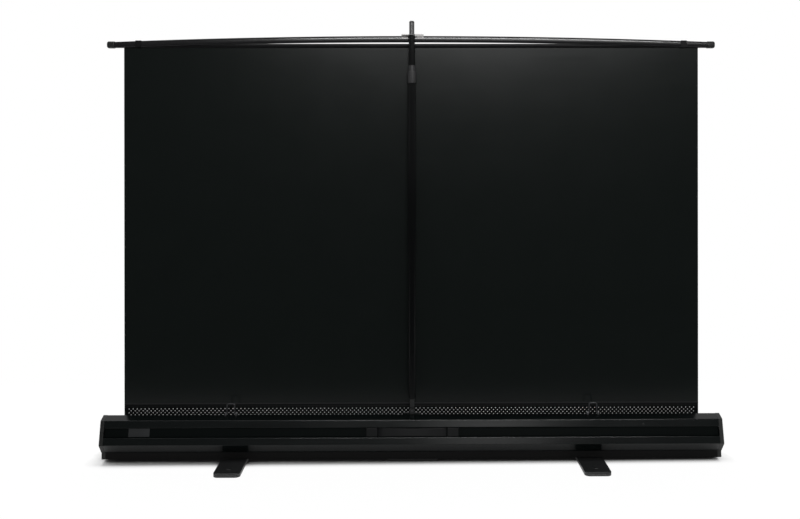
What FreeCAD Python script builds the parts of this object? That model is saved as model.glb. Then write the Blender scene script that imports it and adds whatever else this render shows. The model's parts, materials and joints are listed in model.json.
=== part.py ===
import FreeCAD, Part
"""Portable floor projection screen, in millimetres.

+X runs along the case, -Y is the pole side, +Z is up, and the origin is on the floor under the middle.
A long case on two swivel feet holds a sprung roller. The cloth comes out of a slot in the case's roof
and hangs from a top bar, which a telescopic pole behind the cloth holds up by a hook plate.
"""
import math
import os
from types import SimpleNamespace

import Sketcher
from FreeCAD import Placement, Rotation, Vector

SIZES = {
    # Stack under the case
    "pad_thickness": 2.0,
    "foot_thickness": 10.0,
    "washer_thickness": 1.0,
    # Case
    "cloth_margin": 54.5,
    "cap_thickness": 12.0,
    "cap_wall": 4.0,
    "wall": 2.5,
    "rail_height": 22.0,
    "rail_half": 50.0,
    "flange_width": 14.0,
    "sill_half": 52.0,
    "bulge_half": 80.0,
    "bulge_rise": 52.5,
    "shoulder_half": 60.0,
    "shoulder_drop": 10.0,
    "front_drop": 22.0,
    "case_height": 135.0,
    "slot_half": 28.0,
    "lip_drop": 24.0,
    "channel_drop": 22.0,
    "channel_width": 29.0,
    "channel_depth": 12.0,
    "rivet_inset": 130.0,
    "rivet_radius": 2.0,
    "rivet_head_radius": 4.0,
    "rivet_head": 1.5,
    "plate_length": 66.5,
    "plate_inset": 88.0,
    "plate_thickness": 1.5,
    "face_screw_inset": 252.0,
    "face_screw_radius": 3.0,
    "face_screw_head": 1.2,
    "centre_pad_length": 162.0,
    "centre_pad_half": 38.0,
    # Cap screws
    "cap_screw_radius": 2.0,
    "cap_screw_head_radius": 4.0,
    "cap_screw_head": 3.0,
    "cap_screw_half": 13.0,
    "cap_screw_rise": 30.0,
    "fit_gap": 0.1,
    # Handle
    "handle_length": 295.0,
    "handle_block": 38.0,
    "handle_clear": 1.0,
    "handle_inset": 0.5,
    "grip_thickness": 7.0,
    "grip_travel": 15.0,
    "post_radius": 4.0,
    "post_x": 80.0,
    "stop_radius": 6.0,
    "stop_thickness": 2.0,
    # Feet
    "foot_length": 382.0,
    "foot_width": 82.0,
    "foot_inset": 419.5,
    "foot_corner": 16.0,
    "nose_run": 11.0,
    "nose_drop": 5.0,
    "foot_pad_length": 46.0,
    "foot_pad_width": 64.0,
    "foot_pad_inset": 16.0,
    "bolt_radius": 5.0,
    "bolt_head_radius": 10.5,
    "bolt_head": 4.0,
    "nut_thickness": 8.0,
    "washer_radius": 20.0,
    # Roller
    "bracket_gap": 12.0,
    "bracket_thickness": 3.0,
    "bracket_foot": 18.0,
    "bracket_half": 19.5,
    "bracket_rise": 92.0,
    "roller_gap": 5.0,
    "roller_radius": 27.5,
    "roller_wall": 1.5,
    "roll_radius": 30.0,
    "roll_gap": 0.3,
    "plug_depth": 30.0,
    "plug_flange": 4.0,
    "spindle_radius": 5.0,
    "spring_radius": 9.0,
    "spring_length": 420.0,
    "anchor_length": 20.0,
    # Cloth
    "cloth_y": 14.0,
    "cloth_width": 1862.0,
    "cloth_thickness": 0.6,
    "hem_rise": 157.0,
    "hem_height": 4.0,
    "hem_thickness": 1.6,
    # Top bar
    "bar_rise": 1318.0,
    "rod_radius": 6.9,
    "bar_inset": 2.0,
    "bar_cap": 24.0,
    "bar_cap_height": 22.5,
    "bar_cap_seat": 12.0,
    "bar_cap_corner": 5.0,
    "bar_cap_wall": 1.6,
    "bow_height": 18.5,
    "bow_thickness": 7.0,
    "bow_edge": 2.0,
    "bow_rise": 19.5,
    "bow_gap": 5.6,
    "bow_stand": 0.4,
    "clip_inset": 102.0,
    "clip_length": 18.0,
    "clip_wall": 1.2,
    "hook_left": 33.0,
    "hook_right": 38.0,
    "hook_back": 14.0,
    "hook_thickness": 3.0,
    "hook_screw_radius": 2.0,
    "hook_screw_head_radius": 3.6,
    "hook_screw_head": 1.8,
    "hook_screw_depth": 9.0,
    "hook_screw_margin": 9.0,
    "hook_clear": 0.45,
    "hook_tab_gap": 12.0,
    "hook_tab_drop": 9.0,
    "hook_tab_thickness": 1.4,
    "seat_gap": 0.3,
    # Pole
    "pole_offset": 26.0,
    "pivot_rise": 145.0,
    "stem_length": 36.0,
    "stem_half": 7.25,
    "stem_thickness": 12.0,
    "stem_plug": 40.0,
    "pin_radius": 4.0,
    "pin_clear": 0.08,
    "pin_proud": 1.0,
    "ear_gap": 0.3,
    "ear_thickness": 4.0,
    "pole_bracket_half": 25.0,
    "pole_bracket_floor": 4.0,
    "pole_bracket_drop": 52.0,
    "pole_bracket_top": 12.0,
    "bracket_screw_x": 17.0,
    "lower_tube_radius": 11.5,
    "lower_tube_wall": 1.2,
    "tube_clear": 0.3,
    "sleeve_wall": 1.0,
    "sleeve_length": 580.0,
    "sleeve_overlap": 110.0,
    "bush_radius": 11.5,
    "bush_height": 20.0,
    "bush_skirt": 25.0,
    "nut_radius": 14.5,
    "nut_height": 37.0,
    "top_tube_show": 96.0,
    "top_tube_length": 310.0,
    "spigot_radius": 8.35,
    "spigot_show": 41.0,
    "spigot_seat": 50.0,
    "spigot_cap": 6.0,
    # Bails
    "bail_inset": 406.5,
    "bail_width": 28.0,
    "bail_height": 34.0,
    "bail_bend": 5.0,
    "wire_radius": 1.75,
    "bail_back": 4.0,
    "bail_rise": 2.6,
    "bail_ear": 5.0,
    "bail_ear_half": 4.0,
    "bail_ear_gap": 0.4,
}

TURN_TO = {
    "X": Rotation(Vector(0, 1, 0), 90),
    "Y": Rotation(Vector(1, 0, 0), -90),
    "Z": Rotation(),
}
PLANES = {"YZ": "YZ_Plane", "XZ": "XZ_Plane"}


class Term:
    """A size, or several put together: the text the document works out, and its value now."""

    def __init__(self, text, value):
        self.text = text
        self.value = value

    def join(self, sign, other, result):
        return Term(f"({self.text} {sign} {other.text})", result)

    def __add__(self, other):
        other = as_term(other)
        return self.join("+", other, self.value + other.value)

    def __sub__(self, other):
        other = as_term(other)
        return self.join("-", other, self.value - other.value)

    def __mul__(self, other):
        other = as_term(other)
        return self.join("*", other, self.value * other.value)

    def __truediv__(self, other):
        other = as_term(other)
        return self.join("/", other, self.value / other.value)

    def __radd__(self, other):
        return as_term(other) + self

    def __rsub__(self, other):
        return as_term(other) - self

    def __rmul__(self, other):
        return as_term(other) * self

    def __neg__(self):
        return as_term(0) - self


def as_term(number):
    """A plain number as a term."""
    if isinstance(number, Term):
        return number
    return Term(f"({number!r})", float(number))


def angle_of(rise, run):
    """The angle in degrees whose tangent is rise over run."""
    return Term(f"atan({rise.text} / {run.text})", math.degrees(math.atan(rise.value / run.value)))


doc = FreeCAD.newDocument("ProjectionScreen")
sheet = doc.addObject("Spreadsheet::Sheet", "Sizes")
for row, (size_name, number) in enumerate(SIZES.items(), start=1):
    sheet.set(f"A{row}", size_name)
    sheet.set(f"B{row}", str(number))
    sheet.setAlias(f"B{row}", size_name)
doc.recompute()
size = SimpleNamespace(**{name: Term(f"Sizes.{name}", number) for name, number in SIZES.items()})
subparts = []


def bind(feature, bindings):
    """Tie each property of a feature to a term."""
    for path, term in bindings.items():
        feature.setExpression(path, as_term(term).text)


def place(feature, at):
    """Tie a feature's place to three terms."""
    bind(feature, {f"Placement.Base.{axis}": term for axis, term in zip("xyz", at)})


def box(name, low, span):
    """A block from its low corner and its three lengths."""
    feature = doc.addObject("Part::Box", name)
    bind(feature, dict(zip(("Length", "Width", "Height"), span)))
    place(feature, low)
    return feature


def rod(name, axis, start, radius, length):
    """A cylinder that runs from start along X, Y or Z."""
    feature = doc.addObject("Part::Cylinder", name)
    feature.Placement = Placement(Vector(), TURN_TO[axis])
    bind(feature, {"Radius": radius, "Height": length})
    place(feature, start)
    return feature


def cut(name, base, *tools):
    """A solid with the tools taken out of it."""
    feature = doc.addObject("Part::Cut", name)
    feature.Base = base
    feature.Tool = tools[0] if len(tools) == 1 else fuse(f"{name}_tools", *tools)
    return feature


def fuse(name, *solids):
    """Several solids as one."""
    feature = doc.addObject("Part::MultiFuse", name)
    feature.Shapes = list(solids)
    feature.Refine = True
    return feature


def overlap(name, first, second):
    """What two solids have in common."""
    feature = doc.addObject("Part::MultiCommon", name)
    feature.Shapes = [first, second]
    return feature


def group(name, *solids):
    """Separate solids in one node."""
    feature = doc.addObject("Part::Compound", name)
    feature.Links = list(solids)
    return feature


def ring(name, axis, start, outer, inner, length):
    """A tube or washer that runs from start along an axis."""
    return cut(name, rod(f"{name}_outside", axis, start, outer, length),
               rod(f"{name}_bore", axis, start, inner, length))


def polygon_sketch(body, name, plane, outline, offset):
    """A closed outline whose every corner is tied to its two terms, on a plane of its own body."""
    sketch = body.newObject("Sketcher::SketchObject", name)
    support = [item for item in body.Origin.OriginFeatures if item.Role == PLANES[plane]][0]
    sketch.AttachmentSupport = [(support, "")]
    sketch.MapMode = "FlatFace"
    bind(sketch, {f"AttachmentOffset.Base.{axis}": term for axis, term in offset.items()})
    corners = [Vector(across.value, up.value, 0) for across, up in outline]
    count = len(corners)
    for index in range(count):
        sketch.addGeometry(Part.LineSegment(corners[index], corners[(index + 1) % count]), False)
    for index in range(count):
        sketch.addConstraint(Sketcher.Constraint("Coincident", index, 2, (index + 1) % count, 1))
    for index, (across, up) in enumerate(outline):
        for kind, term in (("DistanceX", across), ("DistanceY", up)):
            number = sketch.addConstraint(Sketcher.Constraint(kind, -1, 1, index, 1, term.value))
            sketch.renameConstraint(number, f"{kind}_{index}")
            sketch.setExpression(f"Constraints.{kind}_{index}", term.text)
    return sketch


def extrusion(name, plane, outline, start, length):
    """An outline carried along its plane's normal, from start, over length."""
    body = doc.addObject("PartDesign::Body", name)
    outline = [(as_term(across), as_term(up)) for across, up in outline]
    sketch = polygon_sketch(body, f"{name}_outline", plane, outline, {"z": start})
    pad = body.newObject("PartDesign::Pad", f"{name}_pad")
    pad.Profile = sketch
    bind(pad, {"Length": length})
    return body


def turned(name, outline, at):
    """An outline of radius and height, turned about a vertical axis at a place."""
    body = doc.addObject("PartDesign::Body", name)
    outline = [(as_term(across), as_term(up)) for across, up in outline]
    sketch = polygon_sketch(body, f"{name}_outline", "XZ", outline, {})
    turn = body.newObject("PartDesign::Revolution", f"{name}_turn")
    turn.Profile = sketch
    turn.ReferenceAxis = (sketch, ["V_Axis"])
    place(body, at)
    return body


def subpart(label, feature):
    """Name a finished piece and keep it for writing out."""
    feature.Label = label
    subparts.append(feature)
    return feature


# Places that several pieces share
base = size.pad_thickness + size.foot_thickness + size.washer_thickness
sill = base + size.rail_height
lip = base + size.case_height
shoulder = lip - size.shoulder_drop
front_lip = lip - size.front_drop
front_shoulder = shoulder - size.front_drop
bulge = base + size.bulge_rise
case_half = size.cloth_width / 2 + size.cloth_margin
shell_half = case_half - size.cap_thickness
rivet_pitch = (shell_half - size.rivet_inset) / 2
foot_place = case_half - size.foot_inset
bail_place = case_half - size.bail_inset
flange_inner = size.rail_half - size.flange_width
lean = (size.bulge_half - size.shoulder_half) / (shoulder - bulge)
channel_top = shoulder - size.channel_drop
channel_foot = channel_top - size.channel_width
channel_middle = channel_top - size.channel_width / 2
roller_y = size.cloth_y - size.roll_radius
roller_z = bulge
bar_half = case_half - size.bar_inset
rod_z = base + size.bar_rise
bow_foot = rod_z + size.rod_radius + size.bow_gap
bow_top = bow_foot + size.bow_height
bow_front = size.cloth_y - size.rod_radius - size.bow_stand
bow_back = bow_front - size.bow_thickness
pole_y = size.cloth_y - size.pole_offset
pivot = base + size.pivot_rise
top_tube_top = bow_top - size.seat_gap
bush_top = top_tube_top - size.top_tube_show
sleeve_top = bush_top - size.bush_height
sleeve_foot = sleeve_top - size.sleeve_length
lower_tube_foot = pivot + size.stem_length
lower_tube_bore = size.lower_tube_radius - size.lower_tube_wall
sleeve_bore = size.lower_tube_radius + size.tube_clear
sleeve_radius = sleeve_bore + size.sleeve_wall
top_tube_radius = lower_tube_bore - size.tube_clear
bail_y = -size.slot_half - size.bail_back


def face(height):
    """The leaning rear face's Y at a height."""
    return -size.shoulder_half - lean * (shoulder - height)


def roof(across):
    """The roof's height at a distance from the middle plane."""
    return lip - (across - size.slot_half) * (lip - shoulder) / (size.shoulder_half - size.slot_half)


# Case
rivet_tools = []
rivets = []
for side in (-1, 1):
    for step in (-2, -1, 1, 2):
        tag = f"{'rear' if side < 0 else 'front'}_{step + 2}"
        at_x = step * rivet_pitch
        at_y = side * (flange_inner + size.flange_width / 2)
        grip_foot = sill - size.wall
        shank = rod(f"rivet_shank_{tag}", "Z", (at_x, at_y, grip_foot), size.rivet_radius, 2 * size.wall)
        lower_head = rod(f"rivet_lower_{tag}", "Z", (at_x, at_y, grip_foot - size.rivet_head),
                         size.rivet_head_radius, size.rivet_head)
        upper_head = rod(f"rivet_upper_{tag}", "Z", (at_x, at_y, sill + size.wall),
                         size.rivet_head_radius, size.rivet_head)
        rivet_tools.append(shank)
        rivets.append(fuse(f"rivet_{tag}", shank, lower_head, upper_head))
subpart("flange_rivets", group("flange_rivets", *rivets))


def shell_outline(side, channel):
    """One half of the case's section: roof, face, chamfer and foot flange, with an inner wall."""
    wall = size.wall
    crest, edge_z = (lip, shoulder) if side < 0 else (front_lip, front_shoulder)
    outside = [(side * size.slot_half, crest), (side * size.shoulder_half, edge_z)]
    inside = [(side * (size.bulge_half - wall), bulge), (side * (size.sill_half - wall / 2), sill + wall)]
    if channel:
        depth = size.channel_depth
        outside += [(face(channel_top), channel_top), (face(channel_top) + depth, channel_top),
                    (face(channel_foot) + depth, channel_foot), (face(channel_foot), channel_foot)]
        over = channel_top + wall
        under = channel_foot - wall
        inside = [(face(over) + wall, over), (face(channel_top) + depth + wall, over),
                  (face(channel_foot) + depth + wall, under), (face(under) + wall, under)] + inside
    outside += [(side * size.bulge_half, bulge), (side * size.sill_half, sill),
                (side * flange_inner, sill), (side * flange_inner, sill + wall)]
    lip_wall = [(side * (size.shoulder_half - wall), edge_z - wall),
                (side * (size.slot_half + wall), crest - wall),
                (side * (size.slot_half + wall), crest - size.lip_drop),
                (side * size.slot_half, crest - size.lip_drop)]
    return outside + inside[::-1] + lip_wall


rear_section = extrusion("rear_section", "YZ", shell_outline(-1, True), -shell_half, 2 * shell_half)
front_section = extrusion("front_section", "YZ", shell_outline(1, False), -shell_half, 2 * shell_half)
rail_outline = []
for side in (1, -1):
    flange = [(side * size.rail_half, base), (side * size.rail_half, sill), (side * flange_inner, sill),
              (side * flange_inner, sill - size.wall),
              (side * (size.rail_half - size.wall), sill - size.wall),
              (side * (size.rail_half - size.wall), base + size.wall)]
    rail_outline += flange if side > 0 else flange[::-1]
rail_section = extrusion("rail_section", "YZ", rail_outline, -shell_half, 2 * shell_half)

# Handle: fixed end blocks, and a grip on two posts that slide through the channel's floor
grip_foot_z = channel_foot + size.handle_clear
grip_top_z = channel_top - size.handle_clear


def channel_piece(name, start, length, inset, thickness):
    """A bar that fills the channel's width, with its front and back parallel to the leaning face."""
    outline = [(face(grip_foot_z) + inset, grip_foot_z), (face(grip_top_z) + inset, grip_top_z),
               (face(grip_top_z) + inset + thickness, grip_top_z),
               (face(grip_foot_z) + inset + thickness, grip_foot_z)]
    return extrusion(name, "YZ", outline, start, length)


block_depth = size.channel_depth - size.handle_inset
handle_half = size.handle_length / 2
subpart("handle_blocks", group(
    "handle_blocks",
    channel_piece("handle_block_left", -handle_half, size.handle_block, size.handle_inset, block_depth),
    channel_piece("handle_block_right", handle_half - size.handle_block, size.handle_block,
                  size.handle_inset, block_depth)))
grip_half = handle_half - size.handle_block - size.handle_clear
grip_bar = channel_piece("grip_bar", -grip_half, 2 * grip_half, size.handle_inset, size.grip_thickness)
post_start = face(channel_middle) + size.handle_inset + size.grip_thickness / 2
floor_inside = face(channel_middle + size.stop_radius) + size.channel_depth + size.wall
stop_y = floor_inside + size.grip_travel + size.tube_clear
post_end = stop_y + size.stop_thickness
posts = []
post_holes = []
stops = []
for tag, side in (("left", -1), ("right", 1)):
    at = (side * size.post_x, post_start, channel_middle)
    posts.append(rod(f"post_{tag}", "Y", at, size.post_radius, post_end - post_start))
    post_holes.append(rod(f"post_hole_{tag}", "Y", at, size.post_radius + size.fit_gap,
                          post_end - post_start))
    stops.append(ring(f"stop_{tag}", "Y", (side * size.post_x, stop_y, channel_middle),
                      size.stop_radius, size.post_radius, size.stop_thickness))
subpart("handle_posts", group("handle_posts", *posts))
subpart("handle_grip", cut("handle_grip", grip_bar, *posts))
subpart("handle_stops", group("handle_stops", *stops))

# Blank plate in the channel, and a small screw above the channel
plate_outline = [(face(grip_foot_z) + size.channel_depth - size.plate_thickness, grip_foot_z),
                 (face(grip_top_z) + size.channel_depth - size.plate_thickness, grip_top_z),
                 (face(grip_top_z) + size.channel_depth, grip_top_z),
                 (face(grip_foot_z) + size.channel_depth, grip_foot_z)]
plate_start = size.plate_inset - case_half
subpart("blank_plate", extrusion("blank_plate", "YZ", plate_outline, plate_start, size.plate_length))
face_screw_z = channel_top + size.face_screw_radius + 2 * size.wall
face_screw_at = (case_half - size.face_screw_inset, face(face_screw_z) - size.face_screw_head, face_screw_z)
face_screw_depth = size.face_screw_head + 2 * size.wall
face_screw_bar = rod("face_screw_bar", "Y", face_screw_at, size.face_screw_radius, face_screw_depth)
subpart("face_screw", face_screw_bar)

# Pole bracket screws go through the lip's flange into the bracket
bracket_rear = -size.slot_half
bracket_screw_z = lip - size.lip_drop / 2
bracket_screws = []
bracket_screw_shanks = []
for tag, side in (("left", -1), ("right", 1)):
    head_y = bracket_rear - size.wall - size.rivet_head
    shank = rod(f"bracket_shank_{tag}", "Y", (side * size.bracket_screw_x, head_y, bracket_screw_z),
                size.rivet_radius, size.rivet_head + 2 * size.wall + size.ear_thickness)
    head = rod(f"bracket_head_{tag}", "Y", (side * size.bracket_screw_x, head_y, bracket_screw_z),
               size.rivet_head_radius, size.rivet_head)
    bracket_screw_shanks.append(shank)
    bracket_screws.append(fuse(f"bracket_screw_{tag}", shank, head))
subpart("pole_bracket_screws", group("pole_bracket_screws", *bracket_screws))

subpart("rear_shell", cut("rear_shell", rear_section, *rivet_tools[:4], *post_holes, face_screw_bar,
                          *bracket_screw_shanks))
subpart("front_shell", cut("front_shell", front_section, *rivet_tools[4:]))

# Feet, their pads, bolts, washers and nuts
bolts = []
washers = []
nuts = []
bolt_holes = []
for tag, side in (("left", -1), ("right", 1)):
    foot_at = side * foot_place
    half_width = size.foot_width / 2
    half_length = size.foot_length / 2
    foot_low = size.pad_thickness
    foot_top = foot_low + size.foot_thickness
    inner_half = half_width - size.foot_corner
    inner_length = half_length - size.foot_corner
    blank = [box(f"foot_{tag}_long", (foot_at - inner_half, -half_length, foot_low),
                 (2 * inner_half, size.foot_length, size.foot_thickness)),
             box(f"foot_{tag}_wide", (foot_at - half_width, -inner_length, foot_low),
                 (size.foot_width, 2 * inner_length, size.foot_thickness))]
    blank += [rod(f"foot_{tag}_corner_{2 * across + along + 4}", "Z",
                  (foot_at + across * inner_half, along * inner_length, foot_low),
                  size.foot_corner, size.foot_thickness) for across in (-1, 1) for along in (-1, 1)]
    noses = [(-half_length, foot_low), (half_length, foot_low), (half_length, foot_top - size.nose_drop),
             (half_length - size.nose_run, foot_top), (-half_length + size.nose_run, foot_top),
             (-half_length, foot_top - size.nose_drop)]
    wedge = extrusion(f"foot_{tag}_noses", "YZ", noses, foot_at - half_width, size.foot_width)
    plate = overlap(f"foot_{tag}_plate", fuse(f"foot_{tag}_blank", *blank), wedge)
    running = size.bolt_radius + size.fit_gap
    bore = rod(f"foot_{tag}_bore", "Z", (foot_at, 0, foot_low), running, size.foot_thickness)
    recess = rod(f"foot_{tag}_recess", "Z", (foot_at, 0, foot_low),
                 size.bolt_head_radius + size.tube_clear, size.bolt_head + size.tube_clear)
    subpart(f"foot_{tag}", cut(f"foot_{tag}", plate, bore, recess))
    pad_y = half_length - size.foot_pad_inset - size.foot_pad_length
    pads = [box(f"foot_pad_{tag}_{end}", (foot_at - size.foot_pad_width / 2, low, as_term(0)),
                (size.foot_pad_width, size.foot_pad_length, size.pad_thickness))
            for end, low in (("rear", -pad_y - size.foot_pad_length), ("front", pad_y))]
    subpart(f"foot_pads_{tag}", group(f"foot_pads_{tag}", *pads))
    shank_length = size.foot_thickness + size.washer_thickness + size.wall + size.nut_thickness
    shank = rod(f"bolt_shank_{tag}", "Z", (foot_at, 0, foot_low), size.bolt_radius, shank_length)
    head = rod(f"bolt_head_{tag}", "Z", (foot_at, 0, foot_low), size.bolt_head_radius, size.bolt_head)
    bolts.append(fuse(f"bolt_{tag}", shank, head))
    bolt_holes.append(shank)
    washers.append(ring(f"washer_{tag}", "Z", (foot_at, 0, foot_top), size.washer_radius,
                        size.bolt_radius, size.washer_thickness))
    nuts.append(ring(f"nut_{tag}", "Z", (foot_at, 0, base + size.wall), size.bolt_head_radius,
                     size.bolt_radius, size.nut_thickness))
subpart("foot_bolts", group("foot_bolts", *bolts))
subpart("foot_washers", group("foot_washers", *washers))
subpart("foot_nuts", group("foot_nuts", *nuts))
subpart("base_rail", cut("base_rail", rail_section, *rivet_tools, *bolt_holes))
subpart("centre_pad", box("centre_pad", (-size.centre_pad_length / 2, -size.centre_pad_half, as_term(0)),
                          (size.centre_pad_length, 2 * size.centre_pad_half, base)))

# End caps, roller brackets, and the screws that clamp each cap to its bracket
half_section = [(size.bulge_half, bulge), (size.sill_half, sill), (size.rail_half, sill),
                (size.rail_half, base)]
cap_outline = [(-size.shoulder_half, shoulder), (-size.slot_half, lip), (size.slot_half, front_lip),
               (size.shoulder_half, front_shoulder)]
cap_outline += half_section + [(-across, up) for across, up in half_section[::-1]]
inset = size.cap_wall
half_pocket = [(size.bulge_half - inset, bulge), (size.rail_half - inset, sill),
               (size.rail_half - inset, base + inset)]
pocket_outline = [(inset - size.shoulder_half, shoulder - inset), (-size.slot_half, lip - inset),
                  (size.slot_half, front_lip - inset),
                  (size.shoulder_half - inset, front_shoulder - inset)]
pocket_outline += half_pocket + [(-across, up) for across, up in half_pocket[::-1]]
bracket_face = shell_half - size.bracket_gap
cap_screws = []
for tag, side in (("left", -1), ("right", 1)):
    low_x = -case_half if side < 0 else shell_half
    pocket_low = size.cap_wall - case_half if side < 0 else shell_half
    blank = extrusion(f"cap_{tag}_blank", "YZ", cap_outline, low_x, size.cap_thickness)
    pocket = extrusion(f"cap_{tag}_pocket", "YZ", pocket_outline, pocket_low,
                       size.cap_thickness - size.cap_wall)
    shanks = []
    screw_length = size.cap_thickness + size.bracket_gap + size.bracket_thickness
    for across in (-1, 1):
        for up in (-1, 1):
            at_y = roller_y + across * size.cap_screw_half
            at_z = roller_z + up * size.cap_screw_rise
            place_tag = f"{tag}_{2 * across + up + 4}"
            shank_x = -case_half if side < 0 else bracket_face - size.bracket_thickness
            head_x = -case_half if side < 0 else case_half - size.cap_screw_head
            shank = rod(f"cap_shank_{place_tag}", "X", (shank_x, at_y, at_z), size.cap_screw_radius,
                        screw_length)
            head = rod(f"cap_head_{place_tag}", "X", (head_x, at_y, at_z), size.cap_screw_head_radius,
                       size.cap_screw_head)
            cap_screws.append(fuse(f"cap_screw_{place_tag}", shank, head))
            shanks.append(cap_screws[-1])
    subpart(f"end_cap_{tag}", cut(f"end_cap_{tag}", blank, pocket, *shanks))
    plate_x = -bracket_face if side < 0 else bracket_face - size.bracket_thickness
    bent_x = -bracket_face if side < 0 else bracket_face - size.bracket_foot
    upright = box(f"bracket_{tag}_upright", (plate_x, roller_y - size.bracket_half, base + size.wall),
                  (size.bracket_thickness, 2 * size.bracket_half, size.bracket_rise))
    foot_plate = box(f"bracket_{tag}_foot", (bent_x, roller_y - size.bracket_half, base + size.wall),
                     (size.bracket_foot, 2 * size.bracket_half, size.bracket_thickness))
    hole_gap = size.fit_gap if side < 0 else as_term(0)
    hole = rod(f"bracket_{tag}_hole", "X", (plate_x, roller_y, roller_z), size.spindle_radius + hole_gap,
               size.bracket_thickness)
    subpart(f"roller_bracket_{tag}", cut(f"roller_bracket_{tag}",
                                         fuse(f"bracket_{tag}_bent", upright, foot_plate), hole, *shanks))
subpart("end_cap_screws", group("end_cap_screws", *cap_screws))

# Roller: a tube on two end plugs, turned by the spring on its fixed spindle
roller_half = bracket_face - size.bracket_thickness - size.roller_gap
tube_half = roller_half - size.plug_flange
roller_bore = size.roller_radius - size.roller_wall
subpart("roller_tube", ring("roller_tube", "X", (-tube_half, roller_y, roller_z), size.roller_radius,
                            roller_bore, 2 * tube_half))
subpart("cloth_roll", ring("cloth_roll", "X", (-size.cloth_width / 2, roller_y, roller_z),
                           size.roll_radius - size.cloth_thickness / 2 - size.roll_gap,
                           size.roller_radius, size.cloth_width))
spindle_bore = size.spindle_radius + size.fit_gap
for tag, side in (("left", -1), ("right", 1)):
    flange_x = -roller_half if side < 0 else tube_half
    insert_x = -roller_half if side < 0 else tube_half - size.plug_depth
    plug = fuse(f"plug_{tag}_solid",
                rod(f"plug_{tag}_flange", "X", (flange_x, roller_y, roller_z), size.roller_radius,
                    size.plug_flange),
                rod(f"plug_{tag}_insert", "X", (insert_x, roller_y, roller_z), roller_bore,
                    size.plug_flange + size.plug_depth))
    bore_radius = size.spindle_radius if side < 0 else spindle_bore
    subpart(f"roller_plug_{tag}", cut(f"roller_plug_{tag}", plug,
                                      rod(f"plug_{tag}_bore", "X", (insert_x, roller_y, roller_z),
                                          bore_radius, size.plug_flange + size.plug_depth)))
subpart("gudgeon_pin", rod("gudgeon_pin", "X", (-bracket_face, roller_y, roller_z), size.spindle_radius,
                           size.bracket_thickness + size.roller_gap + size.plug_flange + size.plug_depth))
spring_end = tube_half - size.plug_depth
spring_start = spring_end - size.spring_length
anchor_start = spring_start - size.anchor_length
subpart("spring_anchor", ring("spring_anchor", "X", (anchor_start, roller_y, roller_z), roller_bore,
                              spindle_bore, size.anchor_length - size.seat_gap))
subpart("spring_spindle", rod("spring_spindle", "X", (anchor_start, roller_y, roller_z),
                              size.spindle_radius, bracket_face - anchor_start))
subpart("counter_spring", ring("counter_spring", "X", (spring_start, roller_y, roller_z),
                               size.spring_radius, size.spindle_radius, size.spring_length - size.seat_gap))

# Cloth: leader band, hem and screen cloth in one plane above the roller
hem = base + size.hem_rise
cloth_top = rod_z - size.rod_radius
cloth_low_y = size.cloth_y - size.cloth_thickness / 2
cloth_span = (size.cloth_width, size.cloth_thickness)
subpart("leader_band", box("leader_band", (-size.cloth_width / 2, cloth_low_y, roller_z),
                           (*cloth_span, hem - roller_z)))
subpart("cloth_hem", box("cloth_hem", (-size.cloth_width / 2, size.cloth_y - size.hem_thickness / 2, hem),
                         (size.cloth_width, size.hem_thickness, size.hem_height)))
subpart("screen_cloth", box("screen_cloth", (-size.cloth_width / 2, cloth_low_y, hem + size.hem_height),
                            (*cloth_span, cloth_top - hem - size.hem_height)))

# Top bar: straight rod, bowed bar behind it, end caps, clips and the hook plate
rod_half = bar_half - size.bar_cap + size.bar_cap_seat
bar_rod = subpart("screen_rod", rod("screen_rod", "X", (-rod_half, size.cloth_y, rod_z), size.rod_radius,
                                    2 * rod_half))
bow_radius = (rod_half * rod_half + size.bow_rise * size.bow_rise) / (2 * size.bow_rise)
bow_body = doc.addObject("PartDesign::Body", "bow_blank")
edge = size.bow_edge
outer = bow_radius
inner = bow_radius - size.bow_height
bow_outline = [(bow_back + edge, inner), (bow_front - edge, inner), (bow_front, inner + edge),
               (bow_front, outer - edge), (bow_front - edge, outer), (bow_back + edge, outer),
               (bow_back, outer - edge), (bow_back, inner + edge)]
bow_sketch = polygon_sketch(bow_body, "bow_blank_outline", "YZ", bow_outline, {"y": bow_top - bow_radius})
bow_turn = bow_body.newObject("PartDesign::Revolution", "bow_blank_turn")
bow_turn.Profile = bow_sketch
bow_turn.ReferenceAxis = (bow_sketch, ["H_Axis"])
bow_turn.Midplane = True
bind(bow_turn, {"Angle": 2 * angle_of(rod_half, bow_radius - size.bow_rise)})

cap_back = bow_back - size.bar_cap_wall
cap_front = size.cloth_y + size.rod_radius + size.bar_cap_wall
cap_low = rod_z - size.rod_radius - size.bar_cap_wall
corner = size.bar_cap_corner
cap_profile = [(cap_back + corner, cap_low), (cap_front - corner, cap_low), (cap_front, cap_low + corner),
               (cap_front, cap_low + size.bar_cap_height - corner),
               (cap_front - corner, cap_low + size.bar_cap_height),
               (cap_back + corner, cap_low + size.bar_cap_height),
               (cap_back, cap_low + size.bar_cap_height - corner), (cap_back, cap_low + corner)]
for tag, side in (("left", -1), ("right", 1)):
    low_x = -bar_half if side < 0 else bar_half - size.bar_cap
    blank = extrusion(f"bar_cap_{tag}_blank", "YZ", cap_profile, low_x, size.bar_cap)
    subpart(f"bar_cap_{tag}", cut(f"bar_cap_{tag}", blank, bar_rod, bow_body))
clip_back = bow_back - size.clip_wall
clip_depth = size.cloth_y - clip_back
clip_place = bar_half - size.clip_inset
clip_drop = clip_place * clip_place / (2 * bow_radius)
clip_low = bow_foot - clip_drop - size.clip_wall
clip_height = size.bow_height + 2 * size.clip_wall
clips = []
for tag, side in (("left", -1), ("right", 1)):
    blank = box(f"clip_{tag}_blank", (side * clip_place - size.clip_length / 2, clip_back, clip_low),
                (size.clip_length, clip_depth, clip_height))
    clips.append(cut(f"clip_{tag}", blank, bar_rod, bow_body))
subpart("bow_clips", group("bow_clips", *clips))

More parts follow.
